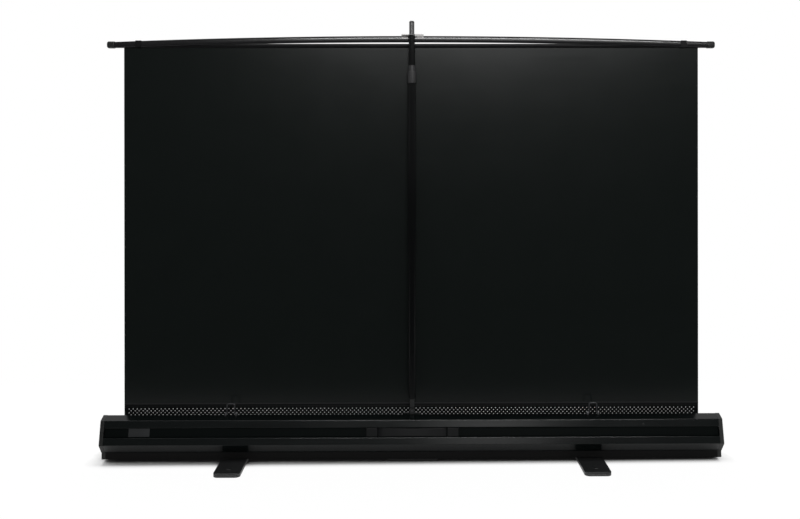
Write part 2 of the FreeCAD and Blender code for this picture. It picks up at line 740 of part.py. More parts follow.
hook_y = pole_y - size.hook_back
hook_span = size.hook_left + size.hook_right
hook_blank = box("hook_blank", (-size.hook_left, hook_y, bow_top), (hook_span, bow_front - hook_y,
                                                                    size.hook_thickness))
slot_half = size.spigot_radius + size.hook_clear
slot_eye = rod("hook_eye", "Z", (as_term(0), pole_y, bow_top), slot_half, size.hook_thickness)
slot_way = box("hook_way", (as_term(0), pole_y - slot_half, bow_top),
               (size.hook_right, 2 * slot_half, size.hook_thickness))
hook_screws = []
for tag, at_x in (("left", size.hook_screw_margin - size.hook_left),
                  ("right", size.hook_right - size.hook_screw_margin)):
    at_y = (bow_front + bow_back) / 2
    shank = rod(f"hook_shank_{tag}", "Z", (at_x, at_y, bow_top - size.hook_screw_depth),
                size.hook_screw_radius, size.hook_screw_depth + size.hook_thickness)
    head = rod(f"hook_head_{tag}", "Z", (at_x, at_y, bow_top + size.hook_thickness),
               size.hook_screw_head_radius, size.hook_screw_head)
    hook_screws.append(fuse(f"hook_screw_{tag}", shank, head))
subpart("hook_plate", cut("hook_plate", hook_blank, slot_eye, slot_way, *hook_screws))
subpart("hook_screws", group("hook_screws", *hook_screws))
tab_corner = (bow_back - size.hook_tab_thickness, bow_top - size.hook_tab_drop)
subpart("hook_tabs", group("hook_tabs", *[
    box(f"hook_tab_{tag}", (low_x, *tab_corner), (length, size.hook_tab_thickness, size.hook_tab_drop))
    for tag, low_x, length in (("left", -size.hook_left, size.hook_left - size.hook_tab_gap),
                               ("right", size.hook_tab_gap, size.hook_right - size.hook_tab_gap))]))
subpart("bow_bar", cut("bow_bar", bow_body, *hook_screws))

# Pole bracket in the slot, with two ears that hold the pivot pin
ear_front = pole_y + size.stem_thickness / 2 + size.ear_gap
ear_rear = pole_y - size.stem_thickness / 2 - size.ear_gap
bracket_low = pivot - size.pole_bracket_drop
bracket_top = pivot - size.pole_bracket_top
bracket_front = ear_front + size.ear_thickness
trough = [(bracket_rear, bracket_low), (bracket_front, bracket_low), (bracket_front, bracket_top),
          (ear_front, bracket_top), (ear_front, bracket_low + size.pole_bracket_floor),
          (ear_rear, bracket_low + size.pole_bracket_floor), (ear_rear, bracket_top),
          (bracket_rear, bracket_top)]
bracket_solids = [extrusion("pole_trough", "YZ", trough, -size.pole_bracket_half,
                            2 * size.pole_bracket_half)]
for tag, low_y, depth in (("rear", bracket_rear, ear_rear - bracket_rear),
                          ("front", ear_front, size.ear_thickness)):
    bracket_solids.append(box(f"pole_ear_{tag}", (-size.stem_half, low_y, bracket_low),
                              (2 * size.stem_half, depth, pivot - bracket_low)))
    bracket_solids.append(rod(f"pole_ear_round_{tag}", "Y", (as_term(0), low_y, pivot), size.stem_half,
                              depth))
pin_y = bracket_rear - size.pin_proud
pin_length = bracket_front - bracket_rear + 2 * size.pin_proud
pivot_pin = rod("pivot_pin", "Y", (as_term(0), pin_y, pivot), size.pin_radius, pin_length)
subpart("pole_bracket", cut("pole_bracket", fuse("pole_bracket_solid", *bracket_solids), pivot_pin,
                            *bracket_screw_shanks))
subpart("pivot_pin", pivot_pin)

# Pole: stem, lower tube, sleeve, lock, top tube and spigot on one axis
stem_low_y = pole_y - size.stem_thickness / 2
stem_solids = [box("stem_flat", (-size.stem_half, stem_low_y, pivot),
                   (2 * size.stem_half, size.stem_thickness, size.stem_length)),
               rod("stem_end", "Y", (as_term(0), stem_low_y, pivot), size.stem_half, size.stem_thickness),
               rod("stem_plug", "Z", (as_term(0), pole_y, lower_tube_foot), lower_tube_bore, size.stem_plug)]
stem_eye = rod("stem_eye", "Y", (as_term(0), stem_low_y, pivot), size.pin_radius + size.pin_clear,
               size.stem_thickness)
subpart("pole_stem", cut("pole_stem", fuse("stem_solid", *stem_solids), stem_eye))
pole_axis = (as_term(0), pole_y)
subpart("lower_tube", ring("lower_tube", "Z", (*pole_axis, lower_tube_foot), size.lower_tube_radius,
                           lower_tube_bore, sleeve_foot + size.sleeve_overlap - lower_tube_foot))
subpart("sleeve_tube", ring("sleeve_tube", "Z", (*pole_axis, sleeve_foot), sleeve_radius, sleeve_bore,
                            size.sleeve_length))
bush_bore = top_tube_radius + size.fit_gap
bush_outline = [(bush_bore, -size.bush_skirt), (sleeve_bore, -size.bush_skirt), (sleeve_bore, 0),
                (size.bush_radius + size.sleeve_wall, 0), (size.bush_radius, size.sleeve_wall),
                (size.bush_radius, size.bush_height), (bush_bore, size.bush_height)]
subpart("lock_bush", turned("lock_bush", bush_outline, (*pole_axis, sleeve_top)))
nut_bore = sleeve_radius + size.fit_gap
nut_edge = size.tube_clear * 4
nut_outline = [(nut_bore, -size.nut_height), (size.nut_radius - nut_edge, -size.nut_height),
               (size.nut_radius, nut_edge - size.nut_height), (size.nut_radius, -nut_edge),
               (size.nut_radius - nut_edge, 0), (nut_bore, 0)]
subpart("lock_nut", turned("lock_nut", nut_outline, (*pole_axis, sleeve_top)))
top_tube_foot = top_tube_top - size.top_tube_length
subpart("top_tube", ring("top_tube", "Z", (*pole_axis, top_tube_foot), top_tube_radius,
                         size.spigot_radius, size.top_tube_length))
spigot_top = top_tube_top + size.spigot_show
subpart("spigot", rod("spigot", "Z", (*pole_axis, top_tube_top - size.spigot_seat), size.spigot_radius,
                      size.spigot_seat + size.spigot_show))
cap_bevel = size.spigot_cap / 2
tip_outline = [(0, 0), (size.spigot_radius, 0), (size.spigot_radius, size.spigot_cap - cap_bevel),
               (size.spigot_radius - cap_bevel, size.spigot_cap), (0, size.spigot_cap)]
subpart("spigot_cap", turned("spigot_cap", tip_outline, (*pole_axis, spigot_top)))

# Wire bails on the rear lip, each turning in two ears
bail_z = roof(size.slot_half + size.bail_back) + size.bail_rise + size.wire_radius
leg_half = size.bail_width / 2 - size.wire_radius
bend_foot = bail_z + size.bail_height - size.wire_radius - size.bail_bend
ear_start = size.bail_width / 2 + size.bail_ear_gap
ear_outline = [(bail_y - size.bail_ear_half, roof(size.slot_half + size.bail_back + size.bail_ear_half)),
               (bail_y + size.bail_ear_half, roof(size.slot_half + size.bail_back - size.bail_ear_half)),
               (bail_y + size.bail_ear_half, bail_z),
               (bail_y + size.bail_ear_half / 2, bail_z + size.bail_ear_half),
               (bail_y - size.bail_ear_half / 2, bail_z + size.bail_ear_half),
               (bail_y - size.bail_ear_half, bail_z)]
for tag, side in (("left", -1), ("right", 1)):
    middle = side * bail_place
    wire = []
    ears = []
    for end, across in (("low", -1), ("high", 1)):
        leg_x = middle + across * leg_half
        bend_x = middle + across * (leg_half - size.bail_bend)
        wire.append(rod(f"bail_{tag}_leg_{end}", "Z", (leg_x, bail_y, bail_z), size.wire_radius,
                        bend_foot - bail_z))
        bend = doc.addObject("Part::Torus", f"bail_{tag}_bend_{end}")
        turn = Rotation(Vector(1, 0, 0), 90)
        bend.Placement = Placement(Vector(), turn if across > 0 else Rotation(Vector(0, 1, 0), -90) * turn)
        bend.Angle3 = 90
        bind(bend, {"Radius1": size.bail_bend, "Radius2": size.wire_radius})
        place(bend, (bend_x, bail_y, bend_foot))
        wire.append(bend)
        knee = doc.addObject("Part::Sphere", f"bail_{tag}_knee_{end}")
        bind(knee, {"Radius": size.wire_radius})
        place(knee, (leg_x, bail_y, bail_z))
        wire.append(knee)
        trunnion_length = size.wire_radius + size.bail_ear_gap + size.bail_ear
        trunnion_x = leg_x if across > 0 else leg_x - trunnion_length
        wire.append(rod(f"bail_{tag}_trunnion_{end}", "X", (trunnion_x, bail_y, bail_z), size.wire_radius,
                        trunnion_length))
        ear_x = middle + ear_start if across > 0 else middle - ear_start - size.bail_ear
        ear = extrusion(f"bail_{tag}_ear_{end}_blank", "YZ", ear_outline, ear_x, size.bail_ear)
        eye = rod(f"bail_{tag}_eye_{end}", "X", (ear_x, bail_y, bail_z), size.wire_radius + size.fit_gap,
                  size.bail_ear)
        ears.append(cut(f"bail_{tag}_ear_{end}", ear, eye))
    wire.append(rod(f"bail_{tag}_top", "X", (middle - leg_half + size.bail_bend, bail_y,
                                             bend_foot + size.bail_bend), size.wire_radius,
                    2 * (leg_half - size.bail_bend)))
    subpart(f"bail_{tag}", fuse(f"bail_{tag}", *wire))
    subpart(f"bail_ears_{tag}", group(f"bail_ears_{tag}", *ears))

doc.recompute()
for item in doc.Objects:
    if "Invalid" in item.State or "Error" in item.State:
        raise RuntimeError(f"{item.Label} failed to build")
for feature in subparts:
    if feature.Shape.isNull() or not feature.Shape.isValid() or not feature.Shape.Solids:
        raise RuntimeError(f"{feature.Label} has no sound solid")
os.makedirs("parts", exist_ok=True)
for feature in subparts:
    feature.Shape.exportStep(os.path.join("parts", f"{feature.Label}.step"))
    print(f"{feature.Label}: {len(feature.Shape.Solids)} solids, {feature.Shape.Volume / 1000:.2f} cm3")
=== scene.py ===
"""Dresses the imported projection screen: finishes, cloth, pole, bar, case shells, studio and camera.

Everything is in metres in the frame's own axes: +X along the case, -Y the pole side, +Z up.
"""
import json
import logging
import math
from dataclasses import dataclass
from enum import Enum

import bpy
import numpy as np
from mathutils import Matrix, Vector

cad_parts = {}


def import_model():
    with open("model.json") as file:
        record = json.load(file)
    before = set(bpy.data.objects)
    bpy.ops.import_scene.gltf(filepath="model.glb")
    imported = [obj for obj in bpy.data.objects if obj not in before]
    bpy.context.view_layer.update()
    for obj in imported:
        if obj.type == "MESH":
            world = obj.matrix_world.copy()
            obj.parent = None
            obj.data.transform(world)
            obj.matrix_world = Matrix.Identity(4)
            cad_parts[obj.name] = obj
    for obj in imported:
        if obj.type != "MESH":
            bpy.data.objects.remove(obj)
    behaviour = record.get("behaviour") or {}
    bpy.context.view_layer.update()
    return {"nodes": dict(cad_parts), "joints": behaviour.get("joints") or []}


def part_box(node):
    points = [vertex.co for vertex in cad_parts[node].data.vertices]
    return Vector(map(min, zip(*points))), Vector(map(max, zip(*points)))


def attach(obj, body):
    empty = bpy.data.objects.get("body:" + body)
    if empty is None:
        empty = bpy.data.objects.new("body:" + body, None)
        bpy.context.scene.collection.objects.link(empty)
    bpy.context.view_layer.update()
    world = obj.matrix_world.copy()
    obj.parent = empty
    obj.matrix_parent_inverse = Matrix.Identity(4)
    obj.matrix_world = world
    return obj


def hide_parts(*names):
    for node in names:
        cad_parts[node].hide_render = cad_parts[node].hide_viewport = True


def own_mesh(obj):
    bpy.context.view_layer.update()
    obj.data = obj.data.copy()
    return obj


LOG = logging.getLogger("projection_screen")
MM = 0.001
MICRON = 0.000001
FULL_TURN = 2 * math.pi
STRAIGHT_BACK = 1.5 * math.pi
WHITE = (1.0, 1.0, 1.0)

Triple = tuple[float, float, float]
Span = tuple[float, float]
Array = np.ndarray
Piece = bpy.types.Object


class Streaks(Enum):
    """The way that drawing or brushing lines run on a finish."""

    NONE = (1.0, 1.0, 1.0)
    ALONG_X = (0.02, 1.0, 1.0)
    ALONG_Z = (1.0, 1.0, 0.02)


class Wire:
    """A shader value that Python's operators act on by adding Math nodes."""

    def __init__(self, board: "Board", socket: bpy.types.NodeSocket) -> None:
        """Keep the board that the value belongs to and its socket."""
        self.board = board
        self.socket = socket

    def __add__(self, other: "Wire | float") -> "Wire":
        """The sum of two values."""
        return self.board.math("ADD", self, other)

    def __sub__(self, other: "Wire | float") -> "Wire":
        """This value less another."""
        return self.board.math("SUBTRACT", self, other)

    def __rsub__(self, other: float) -> "Wire":
        """A number less this value."""
        return self.board.math("SUBTRACT", other, self)

    def __mul__(self, other: "Wire | float") -> "Wire":
        """The product of two values."""
        return self.board.math("MULTIPLY", self, other)

    def __gt__(self, other: "Wire | float") -> "Wire":
        """One where this value is the larger, and nought elsewhere."""
        return self.board.math("GREATER_THAN", self, other)

    def __lt__(self, other: "Wire | float") -> "Wire":
        """One where this value is the smaller, and nought elsewhere."""
        return self.board.math("LESS_THAN", self, other)

    def __abs__(self) -> "Wire":
        """The value without its sign."""
        return self.board.math("ABSOLUTE", self, 0.0)

    __radd__ = __add__
    __rmul__ = __mul__


class Board:
    """A node tree under construction."""

    def __init__(self, tree: bpy.types.NodeTree) -> None:
        """Empty the tree and keep it."""
        self.tree = tree
        tree.nodes.clear()

    def node(self, kind: str, settings: dict | None = None, values: dict | None = None) -> bpy.types.Node:
        """Add one node.

        Args:
            kind: The node's type name, without the ShaderNode that it begins with.
            settings: Properties of the node, set first.
            values: Socket names, or numbers where names repeat, with a plain value or a Wire each.

        Returns:
            The new node.
        """
        made = self.tree.nodes.new(f"ShaderNode{kind}")
        for name, value in (settings or {}).items():
            setattr(made, name, value)
        for name, value in (values or {}).items():
            socket = made.inputs[name]
            if isinstance(value, Wire):
                self.tree.links.new(value.socket, socket)
            else:
                socket.default_value = value
        return made

    def wire(self, kind: str, settings: dict | None = None, values: dict | None = None,
             output: str | int = 0) -> Wire:
        """One output, by name or number, of a new node; the rest is as for node."""
        return Wire(self, self.node(kind, settings, values).outputs[output])

    def math(self, operation: str, first: Wire | float, second: Wire | float) -> Wire:
        """One Math node on two values."""
        return self.wire("Math", {"operation": operation}, {0: first, 1: second})

    def larger(self, first: Wire, second: Wire) -> Wire:
        """The larger of two values."""
        return self.math("MAXIMUM", first, second)

    def place(self, system: str = "Object") -> Wire:
        """The place that is shaded, in a coordinate system."""
        return self.wire("TexCoord", None, None, system)

    def axes(self, vector: Wire) -> list[Wire]:
        """The X, Y and Z of a vector."""
        parts = self.node("SeparateXYZ", None, {"Vector": vector})
        return [Wire(self, output) for output in parts.outputs]

    def mix(self, share: Wire, low: Wire | Triple, high: Triple) -> Wire:
        """A colour that goes from low to high with share."""
        start = low if isinstance(low, Wire) else (*low, 1.0)
        return self.wire("Mix", {"data_type": "RGBA"}, {0: share, 6: start, 7: (*high, 1.0)}, 2)

    def ramp(self, value: Wire, low: float, high: float) -> Wire:
        """A smooth step from nought at low to one at high."""
        return self.wire("MapRange", {"interpolation_type": "SMOOTHSTEP"},
                         {"Value": value, "From Min": low, "From Max": high, "To Min": 0.0, "To Max": 1.0})

    def noise(self, at: Wire, scale: float, detail: float) -> Wire:
        """Smooth noise from nought to one at a place."""
        return self.wire("TexNoise", None, {"Vector": at, "Scale": scale, "Detail": detail})

    def bump(self, height: Wire, **normal: Wire) -> Wire:
        """The normal, or the Normal that is given, tilted by a height in metres."""
        values = {"Strength": 1.0, "Distance": 1.0, "Height": height, **normal}
        return self.wire("Bump", None, values)

    def glow(self, color: Wire | tuple, strength: Wire | float) -> Wire:
        """A shader that gives off a colour."""
        return self.wire("Emission", None, {"Color": color, "Strength": strength})

    def end(self, surface: Wire, kind: str = "OutputMaterial") -> None:
        """Send a shader to the tree's output."""
        self.node(kind, None, {"Surface": surface})


@dataclass(frozen=True)
class Surface:
    """A surface that becomes one procedural material."""

    name: str

    def draw(self, board: Board) -> None:
        """Put the surface's nodes on an empty board."""
        raise NotImplementedError

    def material(self) -> bpy.types.Material:
        """The surface's material, drawn when it is first asked for.

        Returns:
            The material.
        """
        made = bpy.data.materials.get(self.name)
        if made is None:
            made = bpy.data.materials.new(self.name)
            made.use_nodes = True
            self.draw(Board(made.node_tree))
        return made


@dataclass(frozen=True)
class Finish(Surface):
    """A surface finish: slow colour drift, fine grain, drawn lines and softened edges.

    Grain is given by its scale in waves per metre and its depth in microns, and streaks by their way, scale
    and depth. The edge is a radius in metres. Paint, where a finish has it, covers what lies behind a place
    along Y, over a half width along X.
    """

    color: Triple
    roughness: float
    metallic: float = 0.0
    specular: float = 0.5
    drift: float = 0.25
    drift_scale: float = 9.0
    roughness_spread: float = 0.12
    grain: Span = (900.0, 10.0)
    streaks: tuple[Streaks, float, float] = (Streaks.NONE, 400.0, 0.0)
    streak_share: float = 0.4
    edge: float = 0.0
    paint: Triple | None = None
    paint_behind: float = 0.0
    paint_half: float = 0.0

    def tint(self, share: float) -> Triple:
        """The colour made lighter or darker by a share."""
        return tuple(channel * (1.0 + share) for channel in self.color)

    def draw(self, board: Board) -> None:
        """Put the finish on a board, with colour, roughness and relief that vary over the surface.

        Args:
            board: The material's board.
        """
        grain_scale, grain_depth = self.grain
        way, streak_scale, streak_depth = self.streaks
        place = board.place()
        slow = board.noise(place, self.drift_scale, detail=4.0)
        grain = board.noise(place, grain_scale, detail=2.0)
        drawn = board.wire("Mapping", None, {"Vector": place, "Scale": way.value})
        lines = board.noise(drawn, streak_scale, detail=4.0)
        relief = grain * (grain_depth * MICRON) + lines * (streak_depth * MICRON)
        rounded = {}
        if self.edge:
            rounded["Normal"] = board.wire("Bevel", {"samples": 4}, {"Radius": self.edge})
        cloudy = slow * (1.0 - self.streak_share) + lines * self.streak_share
        color = board.mix(cloudy, self.tint(-self.drift), self.tint(self.drift))
        metallic = self.metallic
        if self.paint:
            across, along, _ = board.axes(place)
            painted = (along < self.paint_behind) * (abs(across) < self.paint_half)
            color = board.mix(painted, color, self.paint)
            metallic = (1 - painted) * self.metallic
        spread = (slow + lines - 1.0) * self.roughness_spread
        board.end(board.wire("BsdfPrincipled", None, {
            "Base Color": color,
            "Roughness": self.roughness + spread,
            "Metallic": metallic,
            "Specular IOR Level": self.specular,
            "Normal": board.bump(relief, **rounded),
        }))


@dataclass(frozen=True)
class ScreenFace(Surface):
    """The cloth's viewing side: a matt white image area inside a black border.

    The image area is given by its half width and its lowest and highest edge, in metres. The pearl's depth
    is in microns.
    """

    half_width: float
    low: float
    high: float
    white: Triple = (0.82, 0.82, 0.81)
    black: Triple = (0.012, 0.012, 0.012)
    unevenness: float = 0.04
    drift_scale: float = 5.0
    roughness: float = 0.72
    roughness_spread: float = 0.1
    pearl_scale: float = 1600.0
    pearl_depth: float = 30.0

    def draw(self, board: Board) -> None:
        """Put the viewing side on a board; the border is where X or Z leaves the image area.

        Args:
            board: The material's board.
        """
        place = board.place()
        across, _, up = board.axes(place)
        inside = (abs(across) < self.half_width) * (up > self.low) * (up < self.high)
        slow = board.noise(place, self.drift_scale, detail=3.0)
        pearl = board.noise(place, self.pearl_scale, detail=1.0)
        even = 1.0 - self.unevenness
        board.end(board.wire("BsdfPrincipled", None, {
            "Base Color": board.mix(inside * (even + slow * self.unevenness), self.black, self.white),
            "Roughness": self.roughness + slow * self.roughness_spread,
            "Normal": board.bump(pearl * (self.pearl_depth * MICRON)),
        }))


@dataclass(frozen=True)
class FloorPaper(Surface):
    """Pale paper that takes the shadow near the part, and plain white further off. Its colour also darkens
    towards a dark tone where ambient occlusion finds the part close by: a painted contact shadow.

    Lengths are in metres. The shade lies along X and fades across Y, and it leans by a skew. In reflections
    the paper ends over a sweep on the camera's side.
    """

    paper: Triple = (0.9, 0.9, 0.9)
    glow: float = 0.005
    contact: float = 0.12
    # The colour of the painted contact shadow under the part.
    painted_contact_shade: Triple = (0.005, 0.005, 0.005)
    contact_open: Span = (0.15, 0.5)
    mirror_share: float = 0.08
    sweep: Span = (0.35, 0.8)
    swept_tone: Triple = (0.05, 0.05, 0.05)
    shade_near: float = 0.04
    shade_fade: float = 0.055
    shade_skew: float = 0.02
    shade_share: float = 0.97
    far_across: Span = (0.4, 1.0)
    far_along: Span = (1.2, 1.9)

    def draw(self, board: Board) -> None:
        """Put the paper on a board.

        Args:
            board: The material's board.
        """
        ray = board.node("LightPath")
        mirrored, seen = (Wire(board, ray.outputs[name]) for name in ("Is Glossy Ray", "Is Camera Ray"))
        along, across, _ = board.axes(board.place())
        lit_side = abs(across) + along * self.shade_skew
        beside = board.ramp(lit_side, self.shade_near, self.shade_near + self.shade_fade)
        beyond = board.larger(board.ramp(abs(across), *self.far_across),
                              board.ramp(abs(along), *self.far_along))
        far = board.larger(beside * self.shade_share, beyond)
        # Painted contact shadow: the paper's colour darkens where ambient occlusion finds the part close
        # by.
        clear = board.wire("AmbientOcclusion", {"samples": 8}, {"Distance": self.contact}, "AO")
        tone = board.mix(board.ramp(clear, *self.contact_open), self.painted_contact_shade, self.paper)
        paper = board.wire("BsdfDiffuse", None, {"Color": tone})
        glow = board.glow((*WHITE, 1.0), seen * self.glow)
        near = board.wire("AddShader", None, {0: paper, 1: glow})
        swept = board.ramp(0.0 - across, *self.sweep) * mirrored
        reflected = board.larger(swept, mirrored * self.mirror_share)
        plain = board.glow(board.mix(swept, WHITE, self.swept_tone), 1.0)
        board.end(board.wire("MixShader", None, {0: far * seen + reflected, 1: near, 2: plain}))


LACQUER = Finish("case_lacquer", (0.0023, 0.0031, 0.0031), 0.17, specular=0.22, grain=(420.0, 4.0),
                 streaks=(Streaks.ALONG_X, 260.0, 6.0), roughness_spread=0.05)
RAIL_MATT = Finish("rail_matt", (0.003, 0.003, 0.003), 0.5, specular=0.05, grain=(700.0, 10.0),
                   streaks=(Streaks.ALONG_X, 260.0, 10.0))
# Matt finish for the handle's channel; its colour, darker than the lacquer's, is painted shade of the
# recess.
CHANNEL_MATT_SHADE = Finish("channel_matt_painted_shade", (0.0015, 0.0023, 0.0022), 0.5, specular=0.02,
                      streaks=(Streaks.ALONG_X, 320.0, 10.0))
BOW_GLOSS = Finish("bow_gloss", (0.006, 0.006, 0.0065), 0.2, specular=0.3, grain=(500.0, 1.0),
                   streaks=(Streaks.ALONG_X, 300.0, 1.0), roughness_spread=0.03)
ROD_SATIN = Finish("rod_satin", (0.004, 0.004, 0.0043), 0.35, specular=0.06, grain=(500.0, 3.0),
                   streaks=(Streaks.ALONG_X, 300.0, 3.0))
CAP_PLASTIC = Finish("cap_plastic", (0.0085, 0.009, 0.0088), 0.36, specular=0.2, grain=(1500.0, 10.0),
                     edge=1.5 * MM)
GRIP_PLASTIC = Finish("grip_plastic", (0.003, 0.0033, 0.0035), 0.32, specular=0.045, grain=(1300.0, 10.0))
FOOT_PLASTIC = Finish("foot_plastic", (0.0098, 0.0104, 0.0106), 0.34, specular=0.55, grain=(240.0, 90.0),
                      edge=1.5 * MM, drift=0.35)
LOCK_PLASTIC = Finish("lock_plastic", (0.014, 0.014, 0.0147), 0.48, specular=0.28, grain=(1400.0, 10.0),
                      edge=0.6 * MM)
RUBBER = Finish("pad_rubber", (0.008, 0.008, 0.008), 0.75, specular=0.2, grain=(800.0, 30.0))
ZINC = Finish("zinc_steel", (0.5, 0.5, 0.49), 0.34, metallic=1.0, grain=(600.0, 5.0))
WIRE_STEEL = Finish("bail_wire", (0.05, 0.05, 0.053), 0.32, metallic=1.0, grain=(900.0, 4.0))
HOOK_STEEL = Finish("hook_steel", (0.26, 0.255, 0.25), 0.4, metallic=0.2, grain=(900.0, 40.0),
                    streaks=(Streaks.ALONG_X, 400.0, 5.0), edge=0.5 * MM, paint=(0.008, 0.008, 0.008),
                    paint_behind=-20.1 * MM, paint_half=9.5 * MM)
PLATE_METAL = Finish("blank_plate_metal", (0.03, 0.0315, 0.0325), 0.4, metallic=1.0, grain=(900.0, 40.0),
                     streaks=(Streaks.ALONG_X, 400.0, 8.0), edge=0.6 * MM)
ROLLER_METAL = Finish("roller_metal", (0.55, 0.55, 0.55), 0.3, metallic=1.0, grain=(900.0, 40.0),
                      streaks=(Streaks.ALONG_X, 400.0, 0.0))
SPIGOT_SATIN = Finish("spigot_satin", (0.03, 0.03, 0.031), 0.3, grain=(900.0, 40.0),
                      streaks=(Streaks.ALONG_Z, 500.0, 4.0))
ANODISED = Finish("pole_anodised", (0.0018, 0.002, 0.0021), 0.16, specular=0.1, grain=(900.0, 2.0),
                  streaks=(Streaks.ALONG_Z, 500.0, 3.0), roughness_spread=0.06)
CLOTH_BACK = Finish("cloth_back", (0.0031, 0.0042, 0.0039), 0.2, specular=0.16, grain=(800.0, 10.0),
                    streaks=(Streaks.ALONG_X, 150.0, 10.0), drift=0.15, roughness_spread=0.03)
BAND_CLOTH = Finish("band_cloth", (0.0028, 0.0032, 0.0032), 0.5, specular=0.03, grain=(1100.0, 10.0),
                    drift=0.15)
LINING = Finish("band_lining", (0.45, 0.45, 0.455), 0.7, specular=0.2, grain=(900.0, 30.0))
HEM_CLOTH = Finish("hem_cloth", (0.007, 0.007, 0.0075), 0.42, specular=0.2,
                   streaks=(Streaks.ALONG_X, 400.0, 0.0))
FLOOR_PAPER = FloorPaper("floor_paper")

NODE_FINISHES = {
    CAP_PLASTIC: ("end_cap_left", "end_cap_right", "pole_bracket", "pole_stem", "face_screw"),
    FOOT_PLASTIC: ("foot_left", "foot_right"),
    LOCK_PLASTIC: ("lock_bush", "spigot_cap", "roller_plug_left", "roller_plug_right", "spring_anchor"),
    RUBBER: ("centre_pad", "foot_pads_left", "foot_pads_right"),
    ZINC: ("end_cap_screws", "flange_rivets", "handle_posts", "handle_stops", "foot_bolts", "foot_washers",
           "foot_nuts", "roller_bracket_left", "roller_bracket_right", "gudgeon_pin", "spring_spindle",
           "counter_spring", "hook_screws"),
    WIRE_STEEL: ("bail_left", "bail_right", "bail_ears_left", "bail_ears_right", "pole_bracket_screws",
                 "pivot_pin"),
    HOOK_STEEL: ("hook_plate", "hook_tabs"),
    PLATE_METAL: ("blank_plate",),
    ROLLER_METAL: ("roller_tube",),
    ROD_SATIN: ("screen_rod", "bow_clips"),
    SPIGOT_SATIN: ("spigot",),
}


def dress_nodes(nodes: dict) -> None:
    """Give each node that shows as it is its finish.

    Args:
        nodes: The frame's objects by node name.
    """
    for finish, names in NODE_FINISHES.items():
        for name in names:
            materials = nodes[name].data.materials
            materials.clear()
            materials.append(finish.material())
        LOG.info("%s: %s", finish.name, ", ".join(names))


def stand_in(piece: Piece, body: str, slot: str, *nodes: str) -> None:
    """Let a piece stand for its nodes, which it hides, and ride on a body.

    Args:
        piece: The piece, with its mesh final.
        body: The body that it rides on.
        slot: The record's material slot; not used.
        nodes: The nodes that it stands for; none for an extra piece.
    """
    if nodes:
        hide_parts(*nodes)
    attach(piece, body)
    LOG.info("%s: %d points", piece.name, len(piece.data.vertices))


def quad_grid(rows: int, columns: int, wrap_rows: bool, wrap_columns: bool) -> Array:
    """Corner numbers of the quads of a grid of points.

    Args:
        rows: Number of rows of points.
        columns: Number of points in a row.
        wrap_rows: Whether the last row joins the first.
        wrap_columns: Whether the last point of a row joins the first.

    Returns:
        An array of four corner numbers per quad: each point with its next in the row and in the column.
    """
    row = np.arange(rows if wrap_rows else rows - 1)[:, None]
    column = np.arange(columns if wrap_columns else columns - 1)[None, :]
    next_row = (row + 1) % rows
    next_column = (column + 1) % columns
    quads = np.stack([row * columns + column, row * columns + next_column,
                      next_row * columns + next_column, next_row * columns + column], axis=-1)
    return quads.reshape(-1, 4)


def make_piece(name: str, points: Array, faces: list, surfaces: list[Surface],
               smooth_angle: float = 0.6, chosen: Array | None = None) -> Piece:
    """Put points and faces into a new object at the origin.

    Args:
        name: The piece's name.
        points: An array of places, three numbers each.
        faces: Lists of corner numbers.
        surfaces: The piece's surfaces, in slot order.
        smooth_angle: Edges sharper than this, in radians, stay sharp.
        chosen: The slot number of each face, where there is more than one.

    Returns:
        The object, linked into the scene.
    """
    mesh = bpy.data.meshes.new(name)
    mesh.from_pydata(points.reshape(-1, 3).tolist(), [], faces)
    for surface in surfaces:
        mesh.materials.append(surface.material())
    if chosen is not None:
        mesh.polygons.foreach_set("material_index", chosen.astype(np.int32))
    mesh.validate()
    mesh.shade_smooth()
    mesh.set_sharp_from_angle(angle=smooth_angle)
    made = bpy.data.objects.new(name, mesh)
    bpy.context.scene.collection.objects.link(made)
    return made


def turned_outwards(points: Array, faces: list) -> list:
    """Faces of a closed shape, flipped as a whole if its volume comes out negative.

    The volume is the sum over triangles of the box product of their corners, over six.

    Args:
        points: The shape's places.
        faces: Lists of corner numbers, all turning the same way.

    Returns:
        The faces, turned so that they point outwards.
    """
    flat = points.reshape(-1, 3)
    corners = np.array([(face[0], *pair) for face in faces for pair in zip(face[1:], face[2:])])
    first, second, third = flat[corners[:, 0]], flat[corners[:, 1]], flat[corners[:, 2]]
    volume = np.einsum("ij,ij->i", first, np.cross(second, third)).sum()
    return faces if volume > 0 else [face[::-1] for face in faces]


def carried(name: str, sections: Array, finish: Finish) -> Piece:
    """A closed section carried along stations, with its two ends filled.

    Args:
        name: The piece's name.
        sections: Points as stations by section points by three.
        finish: The piece's finish.

    Returns:
        The object.
    """
    stations, count = sections.shape[:2]
    faces = quad_grid(stations, count, False, True).tolist()
    faces.append(list(range(count))[::-1])
    faces.append(list(range((stations - 1) * count, stations * count)))
    return make_piece(name, sections, turned_outwards(sections, faces), [finish])


